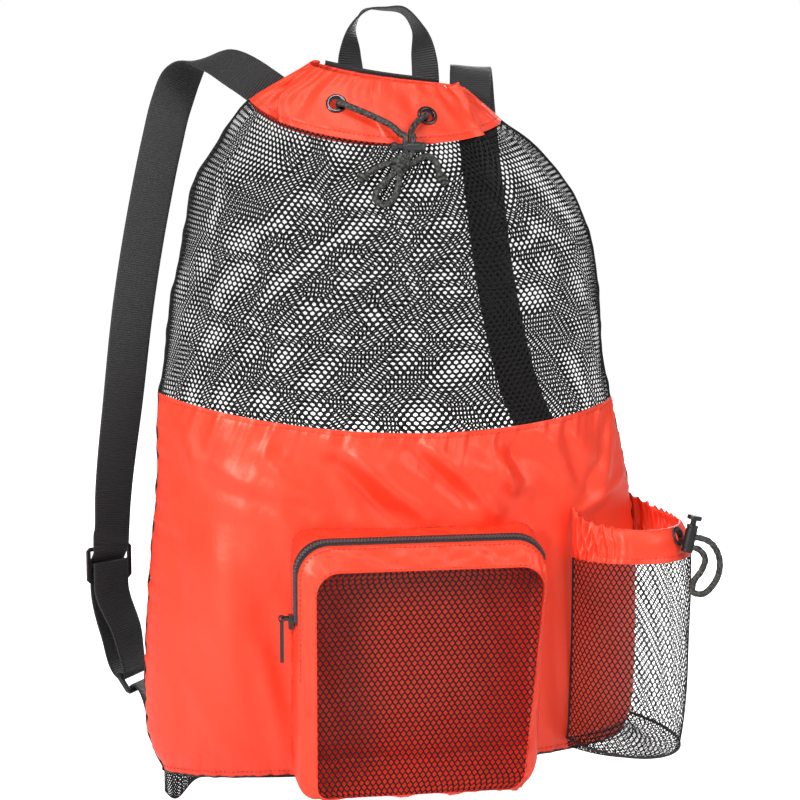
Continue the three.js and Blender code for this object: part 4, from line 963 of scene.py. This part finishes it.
def make_studio():
    """White backdrop, dim room light, soft lights round the bag and a white floor."""
    world = bpy.data.worlds.new("white_studio")
    world.use_nodes = True
    tree = world.node_tree
    tree.nodes.clear()
    seen = node_link(tree, "ShaderNodeLightPath", {}).outputs["Is Camera Ray"]
    room = node_link(tree, "ShaderNodeBackground", {"Color": (1, 1, 1, 1), "Strength": ROOM_LIGHT})
    backdrop = node_link(tree, "ShaderNodeBackground", {"Color": (1, 1, 1, 1), "Strength": 1.0})
    mixed = node_link(tree, "ShaderNodeMixShader", {
        0: seen, 1: room.outputs["Background"], 2: backdrop.outputs["Background"],
    })
    output = node_link(tree, "ShaderNodeOutputWorld", {"Surface": mixed.outputs["Shader"]})
    output.is_active_output = True
    bpy.context.scene.world = world
    bpy.context.scene.view_settings.view_transform = "Standard"
    for name, row in LIGHTS.items():
        make_light(name, *row)
    make_floor()


def make_floor():
    """White floor just under the bag."""
    half, z = FLOOR_HALF * MM, FLOOR_Z * MM
    corners = [(-half, -half, z), (half, -half, z), (half, half, z), (-half, half, z)]
    mesh = bpy.data.meshes.new("floor")
    mesh.from_pydata(corners, [], [(0, 1, 2, 3)])
    mesh.materials.append(pale_floor())
    floor = bpy.data.objects.new("floor", mesh)
    bpy.context.scene.collection.objects.link(floor)


# Cords
def wraps(centre, axis, turns, radius, pitch):
    """Route of cord wound round an axis, with its ends tucked in."""
    axis = unit(np.array(axis, float))
    beside = unit(np.cross(axis, (0.2, 1.0, 0.1)))
    over = np.cross(axis, beside)
    t = np.linspace(0, 1, int(turns * KNOT_POINTS))
    angle = t * turns * TURN
    tuck = radius * np.minimum(1, 0.35 + 5 * np.minimum(t, 1 - t))
    off = (t - 0.5) * turns * pitch
    ring = np.cos(angle)[:, None] * beside + np.sin(angle)[:, None] * over
    return centre + tuck[:, None] * ring + off[:, None] * axis


def make_knot(name, row, axis, turns, radius, pitch, tube):
    """Knot of wound cord at a place before the front."""
    points = wraps(before_front(*row), axis, turns, radius, pitch)
    made, _ = cord_piece(f"{name}_wraps", points, [name], tube, KNOT_TAPER)
    return made


def make_strand(side):
    """Strand of the drawcord from its eyelet to the lock, and its foot between the lock and the bow."""
    place, out = front_seat(*EYELETS[f"eyelet_{side}"])
    run = np.array([before_front(*row) for row in STRANDS[side]])
    lean = run[0] - place
    lean = unit(lean - out * np.dot(lean, out)) * (EYELET_HOLE - CORD_RADIUS - SEAT_GAP)
    top = LOCK_PLACE + (LOCK_ENTRIES[side] - LOCK_PLACE[0], 0, LOCK_RADIUS)
    grip = top - (0, 0, LOCK_RADIUS - LOCK_GRIP)
    points = [place + lean - 5 * out, place + lean + 4.5 * out, *run, top + (0, 0, 4), grip]
    strand, path = cord_piece(f"drawcord_{side}_braid", points, [f"drawcord_{side}"])
    under = grip - (0, 0, 2 * LOCK_GRIP)
    knot = before_front(*BOW_KNOT)
    foot = knot + ((under[0] - knot[0]) * 0.4, 0, 3)
    cord_piece(f"drawcord_{side}_foot", [under, (under + foot) / 2 - (0, 0, 1), foot], [])


def make_drawcord():
    """Drawcord of the neck: two strands from the eyelets to the lock, then a bow with knotted tails."""
    knots = {name: make_knot(name, *row) for name, row in KNOTS.items()}
    for side in STRANDS:
        make_strand(side)
    loop, path = cord_piece("bow_loop_braid", [before_front(*row) for row in BOW_LOOP], ["bow_loop"])
    for side, rows in BOW_TAILS.items():
        points = [before_front(*row) for row in rows]
        tail, path = cord_piece(f"bow_tail_{side}_braid", points, [f"bow_tail_{side}"])


def make_bottle_cord():
    """Doubled tail of the bottle pocket's cord."""
    tail, path = cord_piece("bottle_cord_braid", BOTTLE_CORD, ["bottle_cord"])


# Locks and eyelets
def make_lock(name, foot, axis, radius, length, head, gap, finish):
    """Spring lock: a barrel with a groove near each end, and the plunger that is pressed into it."""
    corners = [(0, 0), (radius, 0)]
    from_mouth, to_mouth, mouth_deep = LOCK_MOUTH_GROOVE
    for low, high, deep in (LOCK_FOOT_GROOVE, (length - from_mouth, length - to_mouth, mouth_deep)):
        corners += [(radius, low), (radius - deep, low), (radius - deep, high), (radius, high)]
    corners += [(radius, length), (LOCK_BORE, length), (LOCK_BORE, LOCK_FLOOR), (0, LOCK_FLOOR)]
    turned(f"{name}_shell", foot, axis, rounded(corners, LOCK_EDGE), finish, [f"{name}_barrel"])
    mouth = foot + unit(np.array(axis, float)) * length
    head_radius, head_length = head
    stem = rounded([
        (0, -STEM_DEPTH), (STEM_RADIUS, -STEM_DEPTH), (STEM_RADIUS, gap), (head_radius, gap),
        (head_radius, gap + head_length), (0, gap + head_length),
    ], STEM_EDGE)
    plunger = f"{name}_plunger"
    turned(f"{name}_stem", mouth, axis, stem, finish, [plunger], body=plunger)


def make_eyelet(name, place, out, finish):
    """Rolled metal eyelet: a flange on the cloth and a throat through it."""
    wall = EYELET_HOLE + EYELET_WALL
    profile = rounded([
        (EYELET_HOLE, -EYELET_DEPTH), (EYELET_HOLE, EYELET_HEIGHT),
        (EYELET_FLANGE - EYELET_ROLL, EYELET_HEIGHT), (EYELET_FLANGE, EYELET_LIFT),
        (wall, EYELET_LIFT), (wall, -EYELET_DEPTH), (EYELET_HOLE, -EYELET_DEPTH),
    ], EYELET_ROLL, 5)
    turned(f"{name}_ring", place, out, profile, finish, [name], sides=56)


def make_neck_fittings():
    """Eyelets and the lock of the drawcord."""
    for name, (x, z) in EYELETS.items():
        make_eyelet(name, *front_seat(x, z), PLATED_METAL)
    foot = LOCK_PLACE + (LOCK_LENGTH, 0, 0)
    make_lock("collar_lock", foot, (-1, 0, 0), LOCK_RADIUS, LOCK_LENGTH, LOCK_HEAD, LOCK_GAP,
              GREY_ACETAL)


# Cloth and nets of the body
def panel_line(angle, z):
    """Points of a stitched line on the coral panel, and the directions out of it there."""
    return skin(angle, z, fold_lift(angle, z) + THREAD_PROUD), body_normal(angle, z)


def make_front_panel():
    """Coral lower front, with its folds, puckered top seam and topstitch."""
    angle, v = np.meshgrid(np.linspace(-np.pi / 2, np.pi / 2, 300), np.linspace(0, 1, 190))
    z = seam_z(angle) + (hem_z(angle) - seam_z(angle)) * v
    grid = skin(angle, z, fold_lift(angle, z))
    faces = grid_faces(*angle.shape)
    panel = piece("front_panel_cloth", grid, faces, CORAL_CLOTH, ["front_panel"])
    around = np.linspace(-1.5, 1.5, 400)
    heights = (seam_z(around) - SEAM_STITCH_BELOW, hem_z(around) + HEM_STITCH_ABOVE)
    stitch_piece("front_panel_stitches", [panel_line(around, height) for height in heights])


def body_net(top, bottom, start, end, sway=0.0):
    """Surface for a net between two edges and two angles, whose cells sway from straight rows."""
    def surface(u, v, out):
        wander = sway * ripple(17 * u + 5 * v, 13 * v - 4 * u) * np.sin(np.pi * u) * np.sin(np.pi * v)
        v = v + 1.3 * wander
        angle = start + (end - start) * (u + wander)
        z = top(angle) + (bottom(angle) - top(angle)) * v
        return skin(angle, z, gather_lift(angle, z) - NET_SINK + out)
    return surface


def base_surface(u, v, out):
    """Net bottom from the front hem to the back one, with the foot that droops at its left."""
    angle = (u - 0.5) * np.pi
    front = body_point(angle, hem_z(angle))
    back = body_point(np.pi - angle, hem_z(np.pi - angle))
    point = front + (back - front) * np.asarray(v)[..., None]
    hang = 4 * v * (1 - v)
    foot = FOOT_DROP * hump(point[..., 0], FOOT_X, FOOT_REACH)
    point[..., 2] -= 1 + hang * (BASE_SAG * np.cos(angle) ** 2 + foot) + out
    return point


def make_body_nets():
    """Net of the upper front, the back and the bottom."""
    right, left = np.pi / 2, 1.5 * np.pi
    net_piece("front_net", body_net(neck_z, seam_z, -right, right), UPPER_NET, ["front_mesh"])
    net_piece("back_net_upper", body_net(neck_z, seam_z, right, left, BACK_SWAY), UPPER_NET, ["back_mesh"])
    net_piece("back_net_lower", body_net(seam_z, hem_z, right, left, BACK_SWAY), LOWER_NET)
    net_piece("base_net", base_surface, BASE_NET, ["base_mesh"])


def make_seam_tapes():
    """Folded tape along the side seams, wavy where the stitching draws it in, and along the lower hem."""
    for side, angle, back in (("right", np.pi / 2, 1), ("left", 1.5 * np.pi, -1)):
        z = np.linspace(float(neck_z(angle)), float(hem_z(angle)), 160)[:, None]
        turn = np.linspace(0, TURN, 12)
        wave = SIDE_TAPE_WAVE * ripple(z / 7, z / 13)
        spread = angle + back * (SIDE_TAPE_MIDDLE - SIDE_TAPE_SPREAD * np.cos(turn))
        grid = skin(spread, z + 0 * turn, wave + 0.9 * np.sin(turn))
        run = np.broadcast_to(-z, grid.shape[:2])
        uv = np.stack((run, 3 * turn + 0 * run), axis=-1)
        piece(f"side_tape_{side}", grid, grid_faces(*grid.shape[:2]), GROSGRAIN,
              [f"side_binding_{side}"], uv)
    angle = np.linspace(np.pi / 2, 1.5 * np.pi, 60)
    tape_tube("back_hem_tape", skin(angle, hem_z(angle), np.zeros_like(angle)), BACK_HEM_TAPE)
    angle = np.linspace(-np.pi / 2, np.pi / 2, 80)
    z = hem_z(angle)
    tape_tube("front_hem_tape", skin(angle, z, fold_lift(angle, z) - 1.6), FRONT_HEM_TAPE)


def collar_folds(s, share):
    """The collar's two folds: a crest, the cloth that goes in behind it and the crease between them."""
    lift = np.zeros_like(s + share)
    for side, place, lean, crest, width, recess, fade, crease in COLLAR_FOLDS:
        past = side * s - place - lean * share
        lift += crest * hump(past, 0, width)
        behind = recess * np.exp(-past / fade) * (1 - np.exp(-past / FOLD_EDGE))
        lift -= np.where(past > 0, behind, 0)
        lift -= crease * hump(past, CREASE_PLACE, CREASE_WIDTH)
    return lift


def collar_lift(angle, share):
    """Folds, gathers and frill of the collar: share is 0 at its hem and 1 at its rim."""
    s = np.sin(angle)
    front = np.clip(np.cos(angle), 0, 1)
    z = neck_z(angle) + (rim_z(angle) - neck_z(angle)) * share
    x = body_point(angle, z)[..., 0]
    flat = np.ones_like(x)
    for eyelet_x, eyelet_z in EYELETS.values():
        away = np.hypot(x - eyelet_x, z - eyelet_z) / COLLAR_FLAT_ROUND_EYELET
        flat = flat * (1 - np.exp(-(away**4)))
    sides = np.clip(np.abs(s) - 0.55, 0, 0.4) * 2.5
    frill = 1.8 * ripple(26 * angle, 11 * angle) * sides * share**1.5
    drape = 2.6 * ripple(13 * angle, 4 * share + 5 * angle) * (0.35 + share) * flat
    hem = 0.9 - 0.5 * hump(share, COLLAR_STITCH_SHARE, 0.03)
    before = (collar_folds(s, share) + frill + drape) * np.clip(front + 0.3, 0, 1) + hem
    rear = -1.4 + 0.9 * ripple(24 * angle, 13 * angle) * (0.3 + 0.7 * share)
    return np.where(np.cos(angle) < -0.2, rear, before)


def collar_point(angle, share, inside):
    """Point of the collar's outer or inner cloth: its rim rises beside the folds."""
    s = np.sin(angle)
    front = np.clip(np.cos(angle) + 0.2, 0, 1)
    peaks = sum(height * hump(s, place, width) for height, place, width in COLLAR_PEAKS)
    flutter = 1.5 * ripple(37 * angle, 17 * angle) * np.clip(np.abs(s) - 0.5, 0, 0.5)
    z = neck_z(angle) + (rim_z(angle) - neck_z(angle) + (peaks + flutter) * front) * share
    return skin(angle, z, collar_lift(angle, share) - inside)


def make_collar():
    """Folded casing of the neck: outer cloth, rolled rim and inner cloth, with the eyelet holes cut out."""
    around = np.linspace(0, TURN, 620, endpoint=False)
    angle, share = np.meshgrid(around, np.linspace(0, 1, 40))
    outside = collar_point(angle, share, 0.0)
    inside = collar_point(angle, share, COLLAR_CASING)[::-1]
    roll = collar_point(around, np.ones_like(around), COLLAR_CASING / 2) + (0, 0, 0.8)
    grid = np.concatenate((outside, roll[None], inside))
    faces = grid_faces(*grid.shape[:2], wrap=True)
    for x, z in EYELETS.values():
        faces = cut_hole(grid, faces, *front_seat(x, z))
    cloth = piece("collar_cloth", grid, faces, CORAL_CLOTH, ["collar"])
    hem = np.full_like(around, COLLAR_STITCH_SHARE)
    line = collar_point(around, hem, -THREAD_PROUD)
    stitch_piece("collar_stitches", [(line, body_normal(around, neck_z(around) + 5))])


def make_yoke():
    """Ribbed tape along the back of the rim, and the hanging loop that is sewn to it."""
    angle, v = np.meshgrid(np.linspace(YOKE_START, YOKE_END, 120), np.linspace(0, 1, 12))
    z = rim_z(angle) + YOKE_RISE - YOKE_WIDTH * v
    out = YOKE_CLEAR + 0.5 * np.sin(np.pi * v)
    front = skin(angle, z, out)
    rear = skin(angle, z, out - YOKE_THICK)[::-1]
    grid = np.concatenate((front, rear, front[:1]))
    run = np.broadcast_to(angle[:1] * 80, grid.shape[:2])
    uv = np.stack((run, np.linspace(0, 2 * YOKE_WIDTH, len(grid))[:, None] + 0 * run), axis=-1)
    faces = grid_faces(*grid.shape[:2])
    piece("yoke_webbing", grid, faces, RIBBED_WEBBING, ["yoke_tape"], uv)
    webbing_piece("grab_loop_webbing", GRAB_LOOP, LOOP_WIDTH, ["grab_loop"])


# Shoulder straps
def bar_frame(along, down):
    """Directions of a slider or ring: along its bars, down and out of its face."""
    along = unit(np.array(along, float))
    down = np.array(down, float)
    down = unit(down - along * np.dot(down, along))
    return along, down, np.cross(down, along)


def bar_station(place, axes, down_by, out_by):
    """Station of webbing beside a bar."""
    along, down, out = axes
    return np.concatenate((np.array(place) + down * down_by + out * out_by, along))


def bar_wrap(place, axes, down_by, way):
    """Stations half round a bar, from behind it to its front."""
    turns = np.radians((180, 135, 90, 45, 0))
    offsets = [(down_by + way * WRAP_RADIUS * np.sin(t), WRAP_RADIUS * np.cos(t)) for t in turns]
    return [bar_station(place, axes, *offset) for offset in offsets]


def make_strap(name, side):
    """Shoulder strap through its slider, round the ring and back, and the tab that holds the ring."""
    slider_axes = bar_frame(side["slider_along"], (0, 0, -1))
    ring_axes = bar_frame(side["ring_along"], side["ring_down"])
    layer = SLIDER_THICK / 2 + 2 * SEAT_GAP + WEB / 2
    threads = ((-17, layer), (-13, layer), (-7.5, 0), (-2, -layer), (15, -layer), (22, -layer))
    threaded = [bar_station(side["slider"], slider_axes, *row) for row in threads]
    returned = [bar_station(side["slider"], slider_axes, down_by, layer) for down_by in (22, 12, -2)]
    wrapped = bar_wrap(side["ring"], ring_axes, 0, 1)
    level_out = np.array((*ring_axes[2][:2], 0, 0, 0, 0))
    down_run = threaded[-1] * 0.45 + wrapped[0] * 0.55 - 5 * level_out
    up_run = wrapped[-1] * 0.55 + returned[0] * 0.45 + 4 * level_out
    stations = [*side["strap"], *threaded, down_run, *wrapped, up_run, *returned]
    webbing_piece(f"strap_{name}_webbing", stations, STRAP_WIDTH, [f"strap_{name}"])
    tab = bar_wrap(side["ring"], ring_axes, RING_PITCH, -1)
    for z in side["tab_heights"]:
        out = body_normal(side["tab_angle"], z)
        seat = body_point(side["tab_angle"], z) + out * (side["tab_clear"] + WEB / 2)
        tab.append(np.array((*seat, out[1], -out[0], 0)))
    webbing_piece(f"anchor_tab_{name}_webbing", tab, TAB_WIDTH, [f"anchor_tab_{name}"])
    bevelled_copy(f"slider_{name}", BLACK_ACETAL, 0.9)
    bevelled_copy(f"ring_{name}", BLACK_ACETAL, 1.2)


# Front pocket
def pocket_outline(ring):
    """Outline of a pocket ring as x and z, from its lower right corner up, over, down and back."""
    _, left, right, low, bottom, top, radius = ring
    corners = ((low, bottom, -1, 1), (right, top, -1, -1), (left, top, 1, -1), (left, bottom, 1, 1))
    arcs = []
    for i, (x, z, into_x, into_z) in enumerate(corners):
        round_by = radius * POCKET_CORNERS[i]
        turn = (i - 1) * np.pi / 2 + np.linspace(0, np.pi / 2, CORNER_POINTS)
        arc_x = x + into_x * round_by + round_by * np.cos(turn)
        arc_z = z + into_z * round_by + round_by * np.sin(turn)
        arcs.append(np.stack((arc_x, arc_z), axis=-1))
    share = np.linspace(0, 1, EDGE_POINTS + 2)[1:-1, None]
    points = []
    for arc, following in zip(arcs, arcs[1:] + arcs[:1]):
        points += [arc, arc[-1] + (following[0] - arc[-1]) * share]
    return np.concatenate(points)


def pocket_ring_points(ring):
    """A pocket ring in space: the first one lies on the bag."""
    x, z = pocket_outline(ring).T
    if ring[0] is None:
        return before_front(x, z, 0.9)
    return np.stack((x, np.full_like(x, ring[0]), z), axis=-1)


def pocket_surface(share):
    """Rows of the gusset at shares of the way through its rings."""
    rings = np.stack([pocket_ring_points(ring) for ring in POCKET_RINGS])
    known = np.arange(len(rings), dtype=float)
    slopes = np.gradient(rings, known, axis=0) * 0.45
    flat = hermite(known, rings.reshape(len(rings), -1), slopes.reshape(len(rings), -1), share)
    return flat.reshape(len(share), -1, 3)


def corner_cut(from_end, radius):
    """How far a rounded corner takes an edge in, at a distance from the end of that edge."""
    return radius - np.sqrt(np.maximum(radius**2 - np.clip(radius - from_end, 0, radius) ** 2, 0))


def gusset_crease(grid, share):
    """Gusset with creases along the directions out of it, none at its seams and under the zip."""
    run = np.arange(grid.shape[1]) * TURN / grid.shape[1]
    s = share[:, None]
    out = unit(np.cross(np.gradient(grid, axis=1), np.gradient(grid, axis=0)))
    out = out * np.sign(np.sum(out * (grid - grid.mean(axis=(0, 1))), axis=-1, keepdims=True))
    depth = np.where(share < 1, CREASE_BEHIND, np.where(share > 2, CREASE_BEFORE, 0.0))
    between = np.sin(np.pi * share) ** 2 * depth
    broad = ripple(17 * run + 2.6 * s, 3.1 * s + 9 * run)
    fine = ripple(41 * run + 4 * s, 23 * run - 5 * s)
    fine = 0.5 * fine * (1 + np.sin(3 * run + 1))
    return grid + out * ((broad + fine) * between[:, None])[..., None]


def make_pocket_gusset():
    """Coral gusset of the boxed pocket, with rounded edges, creases and its stitches."""
    share = np.concatenate((np.linspace(0, 1, 14)[:-1], np.linspace(1, 2, 8)[:-1], np.linspace(2, 3, 12)))
    plain = pocket_surface(share)
    grid = gusset_crease(plain, share)
    grid = np.concatenate((grid, grid[-1:] + (0, WINDOW_LIP, 0)))
    faces = grid_faces(*grid.shape[:2], wrap=True)
    cloth = piece("pocket_gusset_cloth", grid, faces, CORAL_CLOTH, ["pocket_gusset"])
    sideways = unit((plain[0] - plain.mean(axis=(0, 1))) * (1, 0, 1))
    foot, shoulder, edge = pocket_surface(np.array((FOOT_STITCH, ZIP_STITCH, WINDOW_STITCH)))
    zip_run = slice(TOP_RIGHT, LEFT_EDGE + EDGE_POINTS // 2 + 1)
    lines = (
        foot + sideways * 1.2,
        shoulder[zip_run] + sideways[zip_run] * 0.4 - (0, 0.6, 0),
        edge[RIGHT_EDGE:LOWER_LEFT] - (0, 0.3, 0),
    )
    stitch_piece("pocket_stitches", [(line, np.tile((0.0, -1.0, 0.0), (len(line), 1))) for line in lines])


def pocket_pane(u, v, out):
    """Net window of the pocket, which sags into it and is rounded at its corners."""
    depth, left, right, low, bottom, top, radius = POCKET_RINGS[-1]
    low_right, high_right, high_left, low_left = radius * np.array(POCKET_CORNERS)
    z = top + (bottom - top) * v
    x1 = left + np.maximum(corner_cut(top - z, high_left), corner_cut(z - bottom, low_left))
    x2 = right + (low - right) * v
    x2 = x2 - np.maximum(corner_cut(top - z, high_right), corner_cut(z - bottom, low_right))
    x = x1 + (x2 - x1) * u
    sag = (5 + 3 * ripple(8 * u + 3 * v, 6 * v)) * np.sin(np.pi * u) * np.sin(np.pi * v)
    return np.stack((x, depth + 1 + sag - out, z), axis=-1)


def zip_strip():
    """Fine rows of places along the zip, the directions out of the gusset there and the run along them."""
    rows = pocket_surface(np.linspace(*ZIP_SHARES, ZIP_ROWS))
    left_side = rows[ZIP_ROWS // 2, LEFT_EDGE:LOWER_LEFT, 2]
    last = LEFT_EDGE + int(np.sum(left_side > ZIP_END_Z)) + 1
    rows = rows[:, TOP_RIGHT + 2:last]
    steps = np.linalg.norm(np.diff(rows[ZIP_ROWS // 2], axis=0), axis=1)
    run = np.concatenate(([0], np.cumsum(steps)))
    fine = np.arange(0, run[-1], ZIP_STEP)
    strip = np.stack([np.stack([np.interp(fine, run, c) for c in row.T], axis=-1) for row in rows])
    out = unit(np.cross(np.gradient(strip, axis=0), np.gradient(strip, axis=1)))
    out = out * np.sign(np.sum(out * (0, -1, 0), axis=-1, keepdims=True) + 1e-9)
    return strip, out, fine


def make_zip():
    """Coil zip on the pocket's shoulder, along its top and down its left side."""
    strip, out, fine = zip_strip()
    across = np.linspace(-1, 1, ZIP_ROWS)[:, None]
    uv = np.stack((fine + 0 * across, ZIP_HALF * across + 0 * fine), axis=-1)
    tape = strip + out * (1.0 - 1.6 * (np.abs(across) > 0.97))[..., None]
    piece("zip_tape", tape, grid_faces(*tape.shape[:2]), ZIP_TAPE, ["zipper"], uv)
    near = slice(ZIP_ROWS // 2 - COIL_ROWS, ZIP_ROWS // 2 + COIL_ROWS + 1)
    share = across[near] / 0.45
    tooth = 0.5 + 0.5 * np.cos(fine * TURN / TOOTH_PITCH + (share > 0) * np.pi)
    crown = np.sqrt(np.clip(1 - share**2, 0, 1)) * (COIL_BODY + TOOTH_RELIEF * tooth)
    height = COIL_LIFT + crown - COIL_GROOVE * hump(share, 0, 0.12)
    coil = strip[near] + out[near] * height[..., None]
    piece("zip_coil", coil, grid_faces(*coil.shape[:2]), NYLON_COIL, (), uv[near])
    bevelled_copy("zip_slider", BLACK_LACQUER, 0.4)
    bevelled_copy("zip_pull", BLACK_LACQUER, 0.25, body="zip_pull")


def make_pocket():
    """Boxed front pocket: its gusset, its net window and its zip."""
    make_pocket_gusset()
    net_piece("pocket_net", pocket_pane, POCKET_NET, ["pocket_mesh"])
    make_zip()


# Bottle pocket
def bottle_point(u, z, radius):
    """Wall of the bottle pocket at a share of the way round it, and the direction out of it."""
    rows = (np.asarray(row, float) for row in (u, z, radius))
    u, z, radius = np.broadcast_arrays(*rows)

    def circle(share):
        turn = BOTTLE_START + (BOTTLE_END - BOTTLE_START) * share
        return np.stack((BOTTLE_X + radius * np.cos(turn), BOTTLE_Y + radius * np.sin(turn), z), axis=-1)
    to_start = before_front(np.full_like(z, BOTTLE_START_X), z, 0.8) - circle(0.0)
    to_end = body_point(BOTTLE_END_ANGLE, z) + (1.2, 0, 0) - circle(1.0)
    near_start, near_end = (1 - u) ** BOTTLE_EASE, u**BOTTLE_EASE
    place = circle(u) + to_start * near_start[..., None] + to_end * near_end[..., None]
    turn = BOTTLE_START + (BOTTLE_END - BOTTLE_START) * u
    return place, np.stack((np.cos(turn), np.sin(turn), np.zeros_like(turn)), axis=-1)


def toe_z(u):
    """Height of the pocket's lower edge."""
    return BOTTLE_BOTTOM_Z - TOE_DROP * np.sin(np.pi * u)


def bottle_wall(u, v, out):
    """Net wall between the cuff and the toe."""
    z = CUFF_Z + (toe_z(u) - CUFF_Z) * v
    radius = BOTTLE_RADIUS + (TOE_RADIUS - BOTTLE_RADIUS) * v**4
    slack = 1.3 * ripple(14 * u, 6 * v) * np.sin(np.pi * u)
    place, way = bottle_point(u, z, radius)
    return place + way * (slack + out - 0.5)[..., None]


def bottle_floor(u, v, out):
    """Net floor from the toe to the panel."""
    edge, _ = bottle_point(u, toe_z(u), TOE_RADIUS)
    x = BOTTLE_START_X + 3 + (BOTTLE_X + 20 - BOTTLE_START_X - 3) * u
    seat = before_front(x, np.full_like(x, BOTTLE_BOTTOM_Z), 1.4)
    place = edge + (seat - edge) * v[..., None]
    place[..., 2] -= FLOOR_SAG * np.sin(np.pi * v) + out
    return place


def cuff_radius(v):
    """Radius of the cuff, which swells from its rim to the net."""
    return RIM_RADIUS + (BOTTLE_RADIUS - RIM_RADIUS) * v**CUFF_SWELL


def cuff_plain(u, v):
    """Cuff without its gathers, where the eyelet is set."""
    z = CUFF_FRONT_Z + (CUFF_Z - CUFF_FRONT_Z) * v
    return bottle_point(u, z, cuff_radius(v))[0]


def cuff_point(u, v, inside):
    """Coral cuff: v is 0 at its rim and 1 at the net, and its ends are drawn into gathers."""
    ends = np.where(u < 0.5, CUFF_LEFT_Z, CUFF_RIGHT_Z)
    top = CUFF_FRONT_Z + (ends - CUFF_FRONT_Z) * np.abs(2 * u - 1) ** 4
    drawn = sum(strength * hump(u, place, width) for strength, place, width in CUFF_GATHERS)
    wander = 1.6 * np.sin(3.2 * v + 14 * u) + 0.9 * np.sin(31 * u)
    wave = np.sin(u * CUFF_WAVES + wander)
    gather = (CUFF_GATHER_HEIGHT * wave + np.sin(u * 263 - 2 * wander)) * drawn * (1 - 0.45 * v)
    top = top + CUFF_RIM_HEIGHT * np.cos(u * CUFF_WAVES + wander) * drawn
    z = top + (CUFF_Z - top) * v
    drape = 0.8 * ripple(21 * u, 5 * v + 8 * u)
    hem = 1.4 * hump(v, 0.3, 0.3) - 0.5 * hump(v, 0.82, 0.05)
    ease = np.clip(np.minimum(u, 1 - u) / 0.04, 0, 1)
    place, way = bottle_point(u, z, cuff_radius(v))
    return place + way * ((gather + drape + hem) * ease - inside)[..., None]


def bottle_eyelet_seat():
    """Place of the cuff's eyelet and the direction out of the cuff there."""
    share = (BOTTLE_EYELET_ANGLE - BOTTLE_START) / (BOTTLE_END - BOTTLE_START)
    height = (BOTTLE_EYELET_Z - CUFF_FRONT_Z) / (CUFF_Z - CUFF_FRONT_Z)
    step = 0.01
    place = cuff_plain(share, height)
    right = cuff_plain(share + step, height) - place
    down = cuff_plain(share, height + step) - place
    return place, unit(np.cross(down, right))


def make_bottle_cuff():
    """Folded coral strip drawn in by a cord, with its eyelet and its stitches."""
    u, v = np.meshgrid(np.linspace(0, 1, 320), np.linspace(0, 1, 34))
    outside = cuff_point(u, v, 0.0)[::-1]
    inside = cuff_point(u, v, CUFF_CASING)
    rim = (outside[-1:] + inside[:1]) / 2 + (0, 0, 0.7)
    grid = np.concatenate((outside, rim, inside))
    place, out = bottle_eyelet_seat()
    faces = cut_hole(grid, grid_faces(*grid.shape[:2]), place, out)
    cloth = piece("bottle_cuff_cloth", grid, faces, CORAL_CLOTH, ["bottle_cuff"])
    make_eyelet("bottle_eyelet", place, out, BLACK_LACQUER)
    around = np.linspace(0.02, 0.98, 200)
    hem = cuff_point(around, np.full_like(around, CUFF_STITCH_SHARE), -THREAD_PROUD)
    _, way = bottle_point(around, CUFF_Z, BOTTLE_RADIUS)
    stitch_piece("bottle_cuff_stitches", [(hem, way)])


def make_bottle_pocket():
    """Net tube with a coral cuff, taped edges and a lock."""
    net_piece("bottle_net", bottle_wall, BOTTLE_NET, ["bottle_mesh"])
    net_piece("bottle_floor_net", bottle_floor, BOTTLE_FLOOR_NET)
    make_bottle_cuff()
    around = np.linspace(0, 1, 90)
    tape_tube("bottle_toe_tape", bottle_point(around, toe_z(around), TOE_RADIUS)[0], TOE_TAPE)
    side = np.linspace(0, 1, 40)
    seam = bottle_wall(np.zeros_like(side), side, 0 * side) - (0, 0.6, 0)
    tape_tube("bottle_side_tape", seam, BOTTLE_SIDE_TAPE)
    barrel = np.array(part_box("bottle_lock_barrel")) / MM
    foot = barrel.mean(axis=0) - unit(np.array(BOTTLE_LOCK_AXIS)) * BOTTLE_LOCK_LENGTH / 2
    make_lock("bottle_lock", foot, BOTTLE_LOCK_AXIS, BOTTLE_LOCK_RADIUS, BOTTLE_LOCK_LENGTH,
              BOTTLE_LOCK_HEAD, BOTTLE_LOCK_GAP, BLACK_ACETAL)


make_camera()
make_neck_fittings()
make_bottle_pocket()
make_drawcord()
make_bottle_cord()
make_front_panel()
make_body_nets()
make_seam_tapes()
make_collar()
make_yoke()
for side_name, side_row in SIDES.items():
    make_strap(side_name, side_row)
make_pocket()
make_studio()
